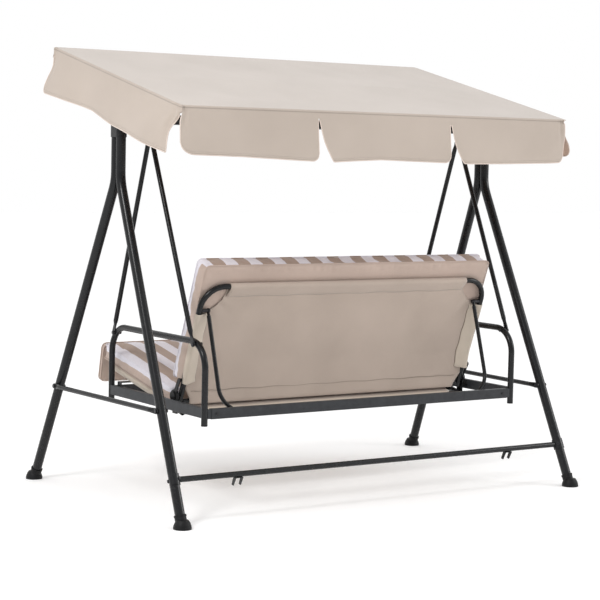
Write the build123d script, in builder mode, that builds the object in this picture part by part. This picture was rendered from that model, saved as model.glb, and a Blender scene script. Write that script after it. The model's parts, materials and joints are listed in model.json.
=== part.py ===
from build123d import *
from math import atan2, cos, degrees, hypot, radians, sin, sqrt
import os

# ---------------------------------------------------------------------------
# Canopy swing bench. Millimetres, +Z up, the sitter looks along -Y.
# "left" is the sitter's left hand, +X. The origin lies on the ground under the
# middle of the overall box.
# ---------------------------------------------------------------------------

# Tube sizes
leg_tube = 38.0
beam_tube = 38.0
arm_tube = 25.0
loop_tube = 22.0
rod_tube = 19.0
crossbar_tube = 22.0
prop_tube = 16.0
canopy_tube = 22.0
tube_wall = 1.5
plate = 4.0

# Fits
running_clearance = 0.06
bolt_clearance = 0.25
socket_clearance = 0.3
sleeve_clearance = 0.4
joint_gap = 0.6

# Stand
post_x = 895.0
post_spacing = 39.0
crotch_z = 1241.0
post_top_z = 1446.0
post_bend = 170.0
front_foot_x = 975.0
rear_foot_x = 930.0
front_reach = 558.0
rear_reach = 600.0
foot_height = 46.0
foot_radius = 34.0
spreader_z = 404.0
crossbar_z = 166.0
clip_x = 650.0
beam_z = 1480.0
socket_bottom_z = 1408.0
socket_wall = 2.5
beam_overhang = 24.0

# Canopy, in its own tilted plane
canopy_half_width = 918.0
canopy_depth = 1080.0
canopy_shift = -7.0
canopy_tilt = 13.3
canopy_pivot_z = 1598.0
canopy_top_z = 1647.0
cloth = 3.0
valance_drop = 188.0
side_flare = 52.0
end_flare = 24.0

# Hangers
hanger_z = 1442.0
rod_front_x = 756.0
pin_diameter = 10.0
rod_front_bolt_y = -288.0
rod_rear_bolt_y = 362.0

# Seat, Y measured from the beam
arm_x = 741.0
arm_front_y = -328.0
arm_rear_y = 421.0
arm_top_z = 648.0
arm_bottom_z = 342.0
arm_front_bend = 110.0
arm_rear_bend = 100.0
rail_height = 40.0
rail_width = 20.0
rail_wall = 1.5
side_rail_z = 386.0
cross_rail_z = 382.0
stub_length = 46.0
rail_end_gap = 13.0
rail_seam_x = -487.0
loop_x = 685.0
seat_slope = 11.4
seat_rear_y = 150.0
seat_rear_z = 352.0
seat_length = 630.0
seat_bend = 60.0
seat_corner_opening = 62.0
support_forward = 440.0
seat_cushion_half_width = 698.0
seat_cushion_thickness = 74.0
seat_cushion_rear_gap = 76.0
seat_cushion_overhang = 66.0
flap_thickness = 32.0
flap_drop = 84.0

# Backrest, along its own plane that leans back from the vertical
hinge_y = 130.0
hinge_z = 415.0
recline = 20.9
back_bottom_y = 135.0
back_bottom_z = 390.0
back_length = 491.0
back_bend = 92.0
back_corner_opening = 112.0
back_cushion_half_width = 694.0
back_cushion_bottom = 62.0
back_cushion_rise = 73.0
back_cushion_thickness = 74.0
disc_radius = 25.0

# Prop that holds the backrest up
prop_x = 647.0
prop_along = 392.0
prop_bar_y = 390.0
prop_bar_z = 378.0
prop_bend = 98.0

# The overall box reaches from the front feet to the rear feet. The beam stands off
# its middle by half the difference.
tilt_cos = cos(radians(canopy_tilt))
tilt_sin = sin(radians(canopy_tilt))
beam_y = (front_reach - rear_reach) / 2

leg_r = leg_tube / 2
loop_r = loop_tube / 2
hinge_at = (hinge_y + beam_y, hinge_z)
sides = {"left": 1, "right": -1}


def save(piece, label):
    """Names a finished piece and writes it."""
    piece.part.label = label
    export_step(piece.part, f"parts/{label}.step")


def end_plane(x, y, z, facing):
    """A plane square to X that faces +X or -X. Its local Y is always up."""
    return Plane(origin=(x, y, z), x_dir=(0, facing, 0), z_dir=(facing, 0, 0))


def bent_tube(points, bend, outer, wall=tube_wall):
    """A round tube along straight runs joined by arcs."""
    with BuildPart() as piece:
        with BuildLine() as path:
            if len(points) == 2:
                Line(*points)
            else:
                FilletPolyline(*points, radius=bend)
        with BuildSketch(Plane(origin=path.line @ 0, z_dir=path.line % 0)):
            Circle(outer / 2)
            Circle(outer / 2 - wall, mode=Mode.SUBTRACT)
        sweep()
    return piece


def drill(piece, centre, axis, radius, length):
    """Cuts a round hole through a piece, centred on a point."""
    with piece:
        with Locations(Plane(origin=centre, z_dir=axis)):
            Cylinder(radius, length, mode=Mode.SUBTRACT)


def bolt_group(label, spots, radius):
    """A group of cap bolts. Each spot is a centre, an axis and the grip length."""
    with BuildPart() as group:
        for centre, axis, grip in spots:
            with Locations(Plane(origin=centre, z_dir=axis)):
                Cylinder(radius, grip)
            with Locations(Plane(origin=centre, z_dir=axis).offset(grip / 2)):
                Cylinder(radius * 1.9, radius * 0.9, align=(Align.CENTER, Align.CENTER, Align.MIN))
            with BuildSketch(Plane(origin=centre, z_dir=axis).offset(-grip / 2)):
                RegularPolygon(radius * 1.85, 6)
            extrude(amount=-radius * 1.3)
    save(group, label)


def rod(start, end, diameter, paddle_width, paddle_length, hole_radius):
    """A tube with both ends pressed flat across X and drilled. Start and end are the holes."""
    along = Vector(*end) - Vector(*start)
    length = along.length
    neck = paddle_length + diameter * 1.4
    spine = Plane(origin=start, x_dir=(1, 0, 0), z_dir=along)
    with BuildPart() as piece:
        with BuildSketch(spine.offset(neck)):
            Circle(diameter / 2)
        extrude(amount=length - 2 * neck)
        for near, far in ((paddle_length, neck), (length - paddle_length, length - neck)):
            with BuildSketch(spine.offset(near)):
                RectangleRounded(plate, paddle_width, plate * 0.4)
            with BuildSketch(spine.offset(far)):
                Circle(diameter / 2)
            loft()
        for at, out in ((0, paddle_length), (length, length - paddle_length)):
            flat = Plane(origin=spine.from_local_coords((0, 0, at)), x_dir=along, z_dir=(1, 0, 0))
            with BuildSketch(flat):
                Circle(paddle_width / 2)
                with Locations(((out - at) / 2, 0)):
                    Rectangle(paddle_length, paddle_width)
                Circle(hole_radius, mode=Mode.SUBTRACT)
            extrude(amount=plate / 2, both=True)
    return piece


def leg_point(side, z, is_front):
    """Centre of a leg's straight run at a height."""
    foot_x = front_foot_x if is_front else rear_foot_x
    reach = -front_reach if is_front else rear_reach
    top_y = -post_spacing / 2 if is_front else post_spacing / 2
    share = 1 - z / crotch_z
    x = post_x + (foot_x - post_x) * share
    y = top_y + (reach - top_y) * share
    return Vector(side * x, y + beam_y, z)


def leg_direction(side, is_front):
    return (leg_point(side, crotch_z, is_front) - leg_point(side, 0, is_front)).normalized()


def across_leg(side, is_front, toward):
    """The direction nearest to "toward" that is square to a leg."""
    along = leg_direction(side, is_front)
    return (toward - along * toward.dot(along)).normalized()


# ---------------------------------------------------------------------------
# Stand
# ---------------------------------------------------------------------------
spreader_bolt = 4.0
leg_bolt = 4.0
leg_end_z = 18.0
saddle_thickness = 3.0
saddle_half_height = 21.0
spreader_standoff = 1.3
spreader_paddle_width = 22.0
spreader_paddle_length = 16.0
collar_wall = 3.0
collar_lip = 1.5
collar_lip_height = 6.0
skirt_edge = 7.0
skirt_waist = 20.0
skirt_top = 33.0
clip_length = 34.0
clip_width = 18.0
clip_sheet = 3.0


def crossbar_bolt_axis(side):
    """The crossbar's bolts enter the rear legs from the rear and from inboard."""
    return across_leg(side, False, Vector(-side, 1.5, 0))


def make_leg(name, side, is_front):
    top = leg_point(side, crotch_z, is_front)
    foot = leg_point(side, leg_end_z, is_front)
    post_top = Vector(top.X, top.Y, post_top_z)
    leg = bent_tube([foot, top, post_top], post_bend, leg_tube)
    across = across_leg(side, is_front, Vector(1, 0, 0))
    drill(leg, leg_point(side, spreader_z, is_front), across, spreader_bolt + bolt_clearance, 2 * leg_tube)
    if not is_front:
        at = leg_point(side, crossbar_z, False)
        drill(leg, at, crossbar_bolt_axis(side), leg_bolt + bolt_clearance, 2 * leg_tube)
    save(leg, name)


def make_foot(name, side, is_front):
    """A flared plastic shoe: an upright skirt with a collar along the leg."""
    ground = leg_point(side, 0, is_front)
    along = leg_direction(side, is_front)
    collar_r = leg_r + collar_wall
    collar_start = 22.0
    collar_length = (foot_height - collar_start) / along.Z
    collar_foot = leg_point(side, collar_start, is_front)
    with BuildPart() as foot:
        with BuildSketch(Plane(origin=ground, x_dir=(1, 0, 0), z_dir=(0, -1, 0))):
            with BuildLine():
                Line((0, 0), (foot_radius, 0))
                Line((foot_radius, 0), (foot_radius, skirt_edge))
                Spline((foot_radius, skirt_edge), (foot_radius - 4, skirt_waist), (collar_r, skirt_top))
                Line((collar_r, skirt_top), (0, skirt_top))
                Line((0, skirt_top), (0, 0))
            make_face()
        revolve(axis=Axis(ground, (0, 0, 1)))
        with BuildSketch(Plane(origin=collar_foot, z_dir=along)):
            Circle(collar_r)
        extrude(amount=collar_length)
        with BuildSketch(Plane(origin=collar_foot, z_dir=along).offset(collar_length - collar_lip_height)):
            Circle(collar_r + collar_lip)
        extrude(amount=collar_lip_height)
        with BuildSketch(Plane(origin=leg_point(side, leg_end_z - 2, is_front), z_dir=along)):
            Circle(leg_r + socket_clearance)
        extrude(amount=2 * foot_height, mode=Mode.SUBTRACT)
    save(foot, name)


def spreader_ends(side):
    """The side brace lies against the +X face of both legs of an A-frame."""
    offset = leg_r + plate / 2 + spreader_standoff
    ends = []
    for is_front in (True, False):
        outward = across_leg(side, is_front, Vector(1, 0, 0))
        ends.append(leg_point(side, spreader_z, is_front) + outward * offset)
    return ends


def make_spreader(name, side):
    front, rear = spreader_ends(side)
    hole = spreader_bolt + bolt_clearance
    brace = rod(front, rear, rod_tube, spreader_paddle_width, spreader_paddle_length, hole)
    save(brace, name)


def make_crossbar():
    left = leg_point(1, crossbar_z, False)
    reach = left.X - leg_r - plate
    cope_radius = leg_r + socket_clearance + saddle_thickness + 0.1
    with BuildPart() as bar:
        with BuildSketch(Plane(origin=(-reach, left.Y, left.Z), z_dir=(1, 0, 0))):
            Circle(crossbar_tube / 2)
            Circle(crossbar_tube / 2 - tube_wall, mode=Mode.SUBTRACT)
        extrude(amount=2 * reach)
        for side in sides.values():
            at = leg_point(side, crossbar_z, False)
            with Locations(Plane(origin=at, z_dir=leg_direction(side, False))):
                Cylinder(cope_radius, 4 * crossbar_tube, mode=Mode.SUBTRACT)
    save(bar, "rear_crossbar")


def make_saddles():
    """Curved plates that hug the inboard rear of the rear legs and carry the crossbar."""
    inner = leg_r + socket_clearance
    with BuildPart() as saddles:
        for side in sides.values():
            at = leg_point(side, crossbar_z, False)
            axis = crossbar_bolt_axis(side)
            with BuildSketch(Plane(origin=at, x_dir=-axis, z_dir=leg_direction(side, False))):
                Circle(inner + saddle_thickness)
                Circle(inner, mode=Mode.SUBTRACT)
                with Locations((leg_tube * 0.75, 0)):
                    Rectangle(leg_tube * 1.5, 3 * leg_tube, mode=Mode.SUBTRACT)
            extrude(amount=saddle_half_height, both=True)
            with Locations(Plane(origin=at, z_dir=axis)):
                Cylinder(leg_bolt + bolt_clearance, 2 * leg_tube, mode=Mode.SUBTRACT)
    save(saddles, "crossbar_saddles")


def make_crossbar_clips():
    """Small folded brackets with two ears under the rear crossbar."""
    at = leg_point(1, crossbar_z, False)
    top = at.Z - crossbar_tube / 2 - 0.1
    ear_offset = (clip_length - clip_sheet) / 2
    half_width = clip_width / 2
    with BuildPart() as clips:
        for side in sides.values():
            with BuildSketch(Plane(origin=(side * clip_x, at.Y, top))):
                Rectangle(clip_length, clip_width)
            extrude(amount=-clip_sheet)
            for ear in (-1, 1):
                with BuildSketch(end_plane(side * clip_x + ear * ear_offset, at.Y, top - clip_sheet, 1)):
                    with BuildLine():
                        Polyline((-half_width, 0), (half_width, 0), (-8, -30), (-20, -27), (-half_width, 0))
                    make_face()
                extrude(amount=clip_sheet / 2, both=True)
    save(clips, "crossbar_clips")


def make_post_sockets():
    """The pressed shoes that join the two posts of each A-frame and carry the beam's ends."""
    height = beam_z + beam_tube / 2 + 8 - socket_bottom_z
    bore = leg_r + socket_clearance
    with BuildPart() as sockets:
        for side in sides.values():
            base = Plane(origin=(side * post_x, beam_y, socket_bottom_z))
            with BuildSketch(base):
                SlotOverall(post_spacing + 2 * (bore + socket_wall), 2 * (bore + socket_wall), rotation=90)
            extrude(amount=height)
            with BuildSketch(base):
                with Locations((0, -post_spacing / 2), (0, post_spacing / 2)):
                    Circle(bore)
            extrude(amount=post_top_z - socket_bottom_z + 1, mode=Mode.SUBTRACT)
            with Locations(end_plane(side * post_x, beam_y, beam_z, 1)):
                Cylinder(beam_tube / 2 + 0.1, 4 * leg_tube, mode=Mode.SUBTRACT)
        fillet(sockets.faces().filter_by(Axis.Z).group_by(Axis.Z)[-1].edges(), radius=4)
    save(sockets, "post_sockets")


def make_beam():
    reach = post_x + beam_overhang
    with BuildPart() as beam:
        with BuildSketch(Plane(origin=(-reach, beam_y, beam_z), z_dir=(1, 0, 0))):
            Circle(beam_tube / 2)
            Circle(beam_tube / 2 - tube_wall, mode=Mode.SUBTRACT)
        extrude(amount=2 * reach)
    save(beam, "top_beam")


rod_rear_x = rod_front_x + plate + 0.8
hanger_mid_x = (rod_front_x + rod_rear_x) / 2
hanger_gap = (rod_rear_x - rod_front_x + plate) / 2 + joint_gap
hanger_paddle_width = 20.0
hanger_paddle_length = 26.0
hanger_cheek_radius = 14.0
pin_head = 4.0


def make_hanger_brackets():
    """Two cheeks under the beam at each end hold the pin of a pair of hanger rods."""
    with BuildPart() as brackets:
        for side in sides.values():
            for step in (-1, 1):
                face_x = side * hanger_mid_x + step * (hanger_gap + plate / 2)
                with BuildSketch(end_plane(face_x, beam_y, hanger_z, 1)):
                    Circle(hanger_cheek_radius)
                    with Locations((0, (beam_z - hanger_z) / 2)):
                        Rectangle(2 * hanger_cheek_radius, beam_z - hanger_z)
                extrude(amount=plate / 2, both=True)
            with Locations(end_plane(side * hanger_mid_x, beam_y, beam_z, 1)):
                Cylinder(beam_tube / 2 + 0.05, 60, mode=Mode.SUBTRACT)
            with Locations(end_plane(side * hanger_mid_x, beam_y, hanger_z, 1)):
                Cylinder(pin_diameter / 2 + 0.05, 60, mode=Mode.SUBTRACT)
    save(brackets, "hanger_brackets")


canopy_bolt = 5.0
strap_x = post_x - leg_r - socket_clearance - socket_wall - 0.1
strap_width = 34.0
strap_eye = 30.0


def make_canopy_brackets():
    """An upright strap on the inboard face of each post shoe, up to the canopy's tilt bolt."""
    strap_foot = socket_bottom_z + 12
    with BuildPart() as straps:
        for side in sides.values():
            with BuildSketch(end_plane(side * strap_x, beam_y, canopy_pivot_z, -side)):
                Circle(strap_width / 2)
                with Locations((0, (strap_foot - canopy_pivot_z) / 2)):
                    Rectangle(strap_width, canopy_pivot_z - strap_foot)
                with Locations((0, beam_z - canopy_pivot_z)):
                    Circle(strap_eye)
                Circle(canopy_bolt + bolt_clearance, mode=Mode.SUBTRACT)
            extrude(amount=plate)
            with Locations(end_plane(side * strap_x, beam_y, beam_z, 1)):
                Cylinder(beam_tube / 2 + 0.1, 40, mode=Mode.SUBTRACT)
    save(straps, "canopy_brackets")


def make_stand():
    for side_name, side in sides.items():
        make_leg(f"leg_front_{side_name}", side, True)
        make_leg(f"leg_rear_{side_name}", side, False)
        make_foot(f"foot_front_{side_name}", side, True)
        make_foot(f"foot_rear_{side_name}", side, False)
        make_spreader(f"side_spreader_{side_name}", side)
    make_saddles()
    make_crossbar_clips()
    make_post_sockets()
    make_hanger_brackets()
    make_canopy_brackets()
    make_crossbar()
    make_beam()
    spots = []
    for side in sides.values():
        for is_front in (True, False):
            axis = across_leg(side, is_front, Vector(1, 0, 0))
            outside = leg_r + spreader_standoff + plate + 0.8
            inside = leg_r + 0.3
            centre = leg_point(side, spreader_z, is_front) + axis * ((outside - inside) / 2)
            spots.append((centre, axis, outside + inside))
        outside = leg_r + socket_clearance + saddle_thickness + 0.3
        inside = leg_r + 0.3
        axis = crossbar_bolt_axis(side)
        centre = leg_point(side, crossbar_z, False) + axis * ((outside - inside) / 2)
        spots.append((centre, axis, outside + inside))
    bolt_group("stand_bolts", spots, spreader_bolt)
    pin_length = 2 * (hanger_gap + plate) + 1
    with BuildPart() as pins:
        for side in sides.values():
            centre = Plane(origin=(side * hanger_mid_x, beam_y, hanger_z), z_dir=(1, 0, 0))
            with Locations(centre):
                Cylinder(pin_diameter / 2, pin_length)
            head_offset = (pin_length + pin_head) / 2
            with Locations(centre.offset(head_offset), centre.offset(-head_offset)):
                Cylinder(pin_diameter * 0.85, pin_head)
    save(pins, "hanger_pins")


# ---------------------------------------------------------------------------
# Canopy: frame and cloth share one plane that tilts about the bolt line
# ---------------------------------------------------------------------------
canopy_plane = Plane(
    origin=(0, beam_y, canopy_top_z), x_dir=(1, 0, 0), z_dir=(0, tilt_sin, tilt_cos)
)
tube_depth = cloth + 0.5 + canopy_tube / 2
lug_x = strap_x - plate - joint_gap
lug_width = 30.0
bow_bend = 45.0
bow_inset = 4.0
splice_length = 160.0
splice_collar = 50.0
cloth_seam = 0.2
knob_radius = 15.0
knob_lobe = 5.0
knob_depth = 16.0


def canopy_point(x, v, w):
    return canopy_plane.from_local_coords((x, v, w))


def make_canopy_frame():
    half_x = canopy_half_width - cloth - 1 - canopy_tube / 2
    half_v = canopy_depth / 2 - cloth - bow_inset - canopy_tube / 2
    for name, end in (("front", -1), ("rear", 1)):
        v = canopy_shift + end * half_v
        bow_start = canopy_shift + end * (splice_collar / 2 + 1)
        corners = [
            canopy_point(half_x, bow_start, -tube_depth),
            canopy_point(half_x, v, -tube_depth),
            canopy_point(-half_x, v, -tube_depth),
            canopy_point(-half_x, bow_start, -tube_depth),
        ]
        save(bent_tube(corners, bow_bend, canopy_tube), f"canopy_bow_{name}")
    inner = canopy_tube / 2 - tube_wall - 0.15
    with BuildPart() as splices:
        for side in sides.values():
            middle = canopy_point(side * half_x, canopy_shift, -tube_depth)
            with Locations(Plane(origin=middle, x_dir=(1, 0, 0), z_dir=canopy_plane.y_dir)):
                Cylinder(inner, splice_length)
                Cylinder(canopy_tube / 2, splice_collar)
    save(splices, "canopy_splices")
    reach = half_x - canopy_tube / 2 - 0.2
    with BuildPart() as bar:
        with BuildSketch(Plane(origin=canopy_point(-reach, canopy_shift, -tube_depth), z_dir=(1, 0, 0))):
            Circle(canopy_tube / 2)
            Circle(canopy_tube / 2 - tube_wall, mode=Mode.SUBTRACT)
        extrude(amount=2 * reach)
    save(bar, "canopy_cross_tube")
    with BuildPart() as ribs:
        for end in (-1, 1):
            start = canopy_shift + end * (canopy_tube / 2 + 0.2)
            stop = canopy_shift + end * (half_v - canopy_tube / 2 - 0.2)
            rib_start = Plane(origin=canopy_point(0, start, -tube_depth), z_dir=canopy_plane.y_dir * end)
            with BuildSketch(rib_start):
                Circle(canopy_tube / 2)
                Circle(canopy_tube / 2 - tube_wall, mode=Mode.SUBTRACT)
            extrude(amount=abs(stop - start))
    save(ribs, "canopy_ribs")
    bar_centre = canopy_point(0, canopy_shift, -tube_depth)
    rise = bar_centre.Z - canopy_pivot_z
    back = bar_centre.Y - beam_y
    with BuildPart() as lugs:
        for side in sides.values():
            with BuildSketch(end_plane(side * lug_x, beam_y, canopy_pivot_z, -side)):
                Circle(lug_width / 2)
                with Locations((-side * back / 2, rise / 2)):
                    Rectangle(lug_width, hypot(rise, back), rotation=degrees(atan2(side * back, rise)))
                Circle(canopy_bolt + bolt_clearance, mode=Mode.SUBTRACT)
            extrude(amount=plate)
            with Locations(end_plane(side * lug_x, bar_centre.Y, bar_centre.Z, 1)):
                Cylinder(canopy_tube / 2 + 0.05, 40, mode=Mode.SUBTRACT)
    save(lugs, "canopy_lugs")


def make_canopy_cloth():
    """The sewn cover as its flat panels: a top and four valances that hang down and flare."""
    half_v = canopy_depth / 2
    with BuildPart() as top:
        with BuildSketch(canopy_plane):
            with Locations((0, canopy_shift)):
                Rectangle(2 * canopy_half_width, canopy_depth)
        extrude(amount=-cloth)
    save(top, "canopy_top")
    hem_origin = canopy_plane.origin - Vector(0, 0, valance_drop)
    levels = (
        (canopy_plane.offset(-cloth - cloth_seam), 0),
        (Plane(origin=hem_origin, x_dir=canopy_plane.x_dir, z_dir=canopy_plane.z_dir), 1),
    )
    for name, end in (("front", -1), ("rear", 1)):
        with BuildPart() as valance:
            for level, grow in levels:
                edge = canopy_shift + end * (half_v + grow * end_flare)
                with BuildSketch(level):
                    with Locations((0, edge - end * cloth / 2)):
                        Rectangle(2 * (canopy_half_width + grow * side_flare), cloth)
            loft()
        save(valance, f"canopy_valance_{name}")
    for side_name, side in sides.items():
        with BuildPart() as valance:
            for level, grow in levels:
                outer = side * (canopy_half_width + grow * side_flare)
                depth = canopy_depth + 2 * grow * end_flare - 2 * cloth - 2 * cloth_seam
                with BuildSketch(level):
                    with Locations((outer - side * cloth / 2, canopy_shift)):
                        Rectangle(cloth, depth)
            loft()
        save(valance, f"canopy_valance_{side_name}")


def make_canopy_knobs():
    """A hand knob on each tilt bolt, with the bolt's shank through strap and lug."""
    lobes = 6
    for side_name, side in sides.items():
        lug_inner_x = lug_x - plate
        face = end_plane(side * (lug_inner_x - joint_gap), beam_y, canopy_pivot_z, -side)
        shank = strap_x - lug_inner_x + joint_gap - 0.5
        with BuildPart() as knob:
            with BuildSketch(face):
                Circle(knob_radius)
                with PolarLocations(knob_radius - 1, lobes):
                    Circle(knob_lobe)
            extrude(amount=knob_depth)
            fillet(knob.faces().sort_by(Axis.X)[0 if side > 0 else -1].edges(), radius=2.5)
            with BuildSketch(face):
                Circle(canopy_bolt)
            extrude(amount=-shank)
        save(knob, f"canopy_knob_{side_name}")


# ---------------------------------------------------------------------------
# Hanging seat
# ---------------------------------------------------------------------------
seat_plane = Plane(
    origin=(0, seat_rear_y + beam_y, seat_rear_z),
    x_dir=(1, 0, 0),
    z_dir=(0, sin(radians(seat_slope)), cos(radians(seat_slope))),
)
arm_bolt = 4.0
rail_bolt = 3.0
sleeve_cloth = 2.0
sleeve_radius = loop_r + sleeve_clearance + sleeve_cloth
plug_cap = 5.0
plug_length = 14.0
seam_gap = 0.6
seam_splice = 100.0
support_width = 30.0


def seat_point(x, forward, up):
    """A point of the seat frame's plane, measured forward from its rear tube."""
    return seat_plane.from_local_coords((x, -forward, up))


def bend_height(y, post_y, bend, inward):
    """Height of an arm tube's centre line where it bends over from its post."""
    from_centre = y - post_y - inward * bend
    return arm_top_z - bend + sqrt(bend**2 - from_centre**2)


rod_bolts = {
    "front": (
        rod_front_x,
        rod_front_bolt_y,
        bend_height(rod_front_bolt_y, arm_front_y, arm_front_bend, 1),
    ),
    "rear": (
        rod_rear_x,
        rod_rear_bolt_y,
        bend_height(rod_rear_bolt_y, arm_rear_y, arm_rear_bend, -1),
    ),
}


def make_hanger_rods():
    top = Vector(0, beam_y, hanger_z)
    for side_name, side in sides.items():
        for name, (x, bolt_y, bolt_z) in rod_bolts.items():
            start = (side * x, top.Y, top.Z)
            end = (side * x, bolt_y + beam_y, bolt_z)
            hole = arm_bolt + bolt_clearance
            hanger = rod(start, end, rod_tube, hanger_paddle_width, hanger_paddle_length, hole)
            drill(hanger, start, (1, 0, 0), pin_diameter / 2 + running_clearance, 20)
            save(hanger, f"hanger_rod_{name}_{side_name}")


def make_arm(name, side):
    front_y = arm_front_y + beam_y
    rear_y = arm_rear_y + beam_y
    x = side * arm_x
    points = [
        (x, front_y, arm_bottom_z),
        (x, front_y, arm_top_z),
        (x, rear_y, arm_top_z),
        (x, rear_y, arm_bottom_z),
    ]
    arm = bent_tube(points, [arm_front_bend, arm_rear_bend], arm_tube)
    for _, bolt_y, bolt_z in rod_bolts.values():
        drill(arm, (x, bolt_y + beam_y, bolt_z), (1, 0, 0), arm_bolt + bolt_clearance, 60)
    save(arm, name)


def make_arm_plugs():
    with BuildPart() as plugs:
        for side in sides.values():
            for y in (arm_front_y, arm_rear_y):
                foot = Plane(origin=(side * arm_x, y + beam_y, arm_bottom_z), z_dir=(0, 0, -1))
                with BuildSketch(foot.offset(0.1)):
                    Circle(arm_tube / 2)
                extrude(amount=plug_cap)
                with BuildSketch(foot.offset(0.1)):
                    Circle(arm_tube / 2 - tube_wall - 0.15)
                extrude(amount=-plug_length)
    save(plugs, "arm_plugs")


def cope(piece, x, y):
    """Cuts the end of a rail to the round of an arm tube."""
    with piece:
        with Locations((x, y, side_rail_z)):
            Cylinder(arm_tube / 2 + 0.05, 3 * rail_height, mode=Mode.SUBTRACT)


def make_rail_inserts(bolt_x):
    """Welded stubs on the arms that enter the cross rails, and the splice at the rear rail's seam."""
    inner_width = rail_width - 2 * rail_wall - 0.6
    inner_height = rail_height - 2 * rail_wall - 0.6
    stub_start = arm_x - rail_width / 2 - joint_gap
    with BuildPart() as inserts:
        for arm_y in (arm_front_y, arm_rear_y):
            y = arm_y + beam_y
            for side in sides.values():
                with BuildSketch(end_plane(side * stub_start, y, cross_rail_z, -side)):
                    RectangleRounded(inner_width, inner_height, 1.2)
                extrude(amount=stub_length + rail_end_gap)
                with Locations((side * arm_x, y, cross_rail_z)):
                    Cylinder(arm_tube / 2 + 0.05, 3 * rail_height, mode=Mode.SUBTRACT)
                with Locations(Plane(origin=(side * bolt_x, y, cross_rail_z), z_dir=(0, 1, 0))):
                    Cylinder(rail_bolt + bolt_clearance, 2 * rail_width, mode=Mode.SUBTRACT)
        with BuildSketch(end_plane(rail_seam_x - seam_splice / 2, arm_rear_y + beam_y, cross_rail_z, 1)):
            RectangleRounded(inner_width, inner_height, 1.2)
        extrude(amount=seam_splice)
    save(inserts, "rail_inserts")


def rail_section():
    """The rectangular tube of all four rails, drawn in the sketch in hand."""
    RectangleRounded(rail_width, rail_height, 3)
    bore_width = rail_width - 2 * rail_wall
    bore_height = rail_height - 2 * rail_wall
    RectangleRounded(bore_width, bore_height, 1.5, mode=Mode.SUBTRACT)


def make_rails():
    front_y = arm_front_y + beam_y
    rear_y = arm_rear_y + beam_y
    length = rear_y - front_y
    for side_name, side in sides.items():
        with BuildPart() as rail:
            start = (side * arm_x, front_y, side_rail_z)
            with BuildSketch(Plane(origin=start, x_dir=(1, 0, 0), z_dir=(0, 1, 0))):
                rail_section()
            extrude(amount=length)
        cope(rail, side * arm_x, front_y)
        cope(rail, side * arm_x, rear_y)
        save(rail, f"side_rail_{side_name}")
    reach = arm_x - rail_end_gap * 2
    bolt_x = reach - stub_length / 2
    spans = {
        "front_rail": (front_y, [(-reach, reach)]),
        "rear_rail": (rear_y, [(-reach, rail_seam_x - seam_gap), (rail_seam_x + seam_gap, reach)]),
    }
    for name, (y, lengths) in spans.items():
        with BuildPart() as rail:
            for low, high in lengths:
                with BuildSketch(end_plane(low, y, cross_rail_z, 1)):
                    rail_section()
                extrude(amount=high - low)
            for x in (-bolt_x, bolt_x):
                with Locations(Plane(origin=(x, y, cross_rail_z), z_dir=(0, 1, 0))):
                    Cylinder(rail_bolt + bolt_clearance, 2 * rail_width, mode=Mode.SUBTRACT)
        save(rail, name)
    make_rail_inserts(bolt_x)
    spots = []
    for y, facing in ((front_y, -1), (rear_y, 1)):
        for x in (-bolt_x, bolt_x):
            spots.append(((x, y, cross_rail_z), (0, facing, 0), rail_width + 0.3))
    bolt_group("rail_bolts", spots, rail_bolt)
    spots = []
    for side in sides.values():
        for x, bolt_y, bolt_z in rod_bolts.values():
            outer = x + plate / 2 + 0.1
            inner = arm_x - arm_tube / 2 - 0.3
            centre = (side * (outer + inner) / 2, bolt_y + beam_y, bolt_z)
            spots.append((centre, (side, 0, 0), outer - inner))
    bolt_group("arm_bolts", spots, arm_bolt)


def make_seat_frame():
    u_points = [
        seat_point(loop_x, -loop_r, 0),
        seat_point(loop_x, seat_length, 0),
        seat_point(-loop_x, seat_length, 0),
        seat_point(-loop_x, -loop_r, 0),
    ]
    save(bent_tube(u_points, seat_bend, loop_tube), "seat_loop")
    reach = loop_x - loop_r - 0.2
    save(bent_tube([seat_point(-reach, 0, 0), seat_point(reach, 0, 0)], 0, loop_tube), "seat_rear_tube")
    make_seat_supports()


def make_seat_supports():
    """Cranked plates from the side rails to a shelf under the front of the seat loop."""
    rail_face = arm_x - rail_width / 2 - 0.1
    low = side_rail_z - rail_height / 2 + 6
    tube = seat_point(loop_x, support_forward, 0)
    slope = radians(seat_slope)
    shelf = tube.Z - (sleeve_radius + 0.3) / cos(slope) - sin(slope) * support_width / 2
    inner_x = loop_x - loop_r
    with BuildPart() as supports:
        for side in sides.values():
            rear_edge = (0, tube.Y + support_width / 2, 0)
            with BuildSketch(Plane(origin=rear_edge, x_dir=(1, 0, 0), z_dir=(0, -1, 0))):
                with BuildLine():
                    Polyline(
                        (side * rail_face, low),
                        (side * rail_face, shelf),
                        (side * inner_x, shelf),
                        (side * inner_x, shelf - plate),
                        (side * (rail_face - plate), shelf - plate),
                        (side * (rail_face - plate), low),
                        (side * rail_face, low),
                    )
                make_face()
            extrude(amount=support_width)
    save(supports, "seat_supports")


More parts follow.
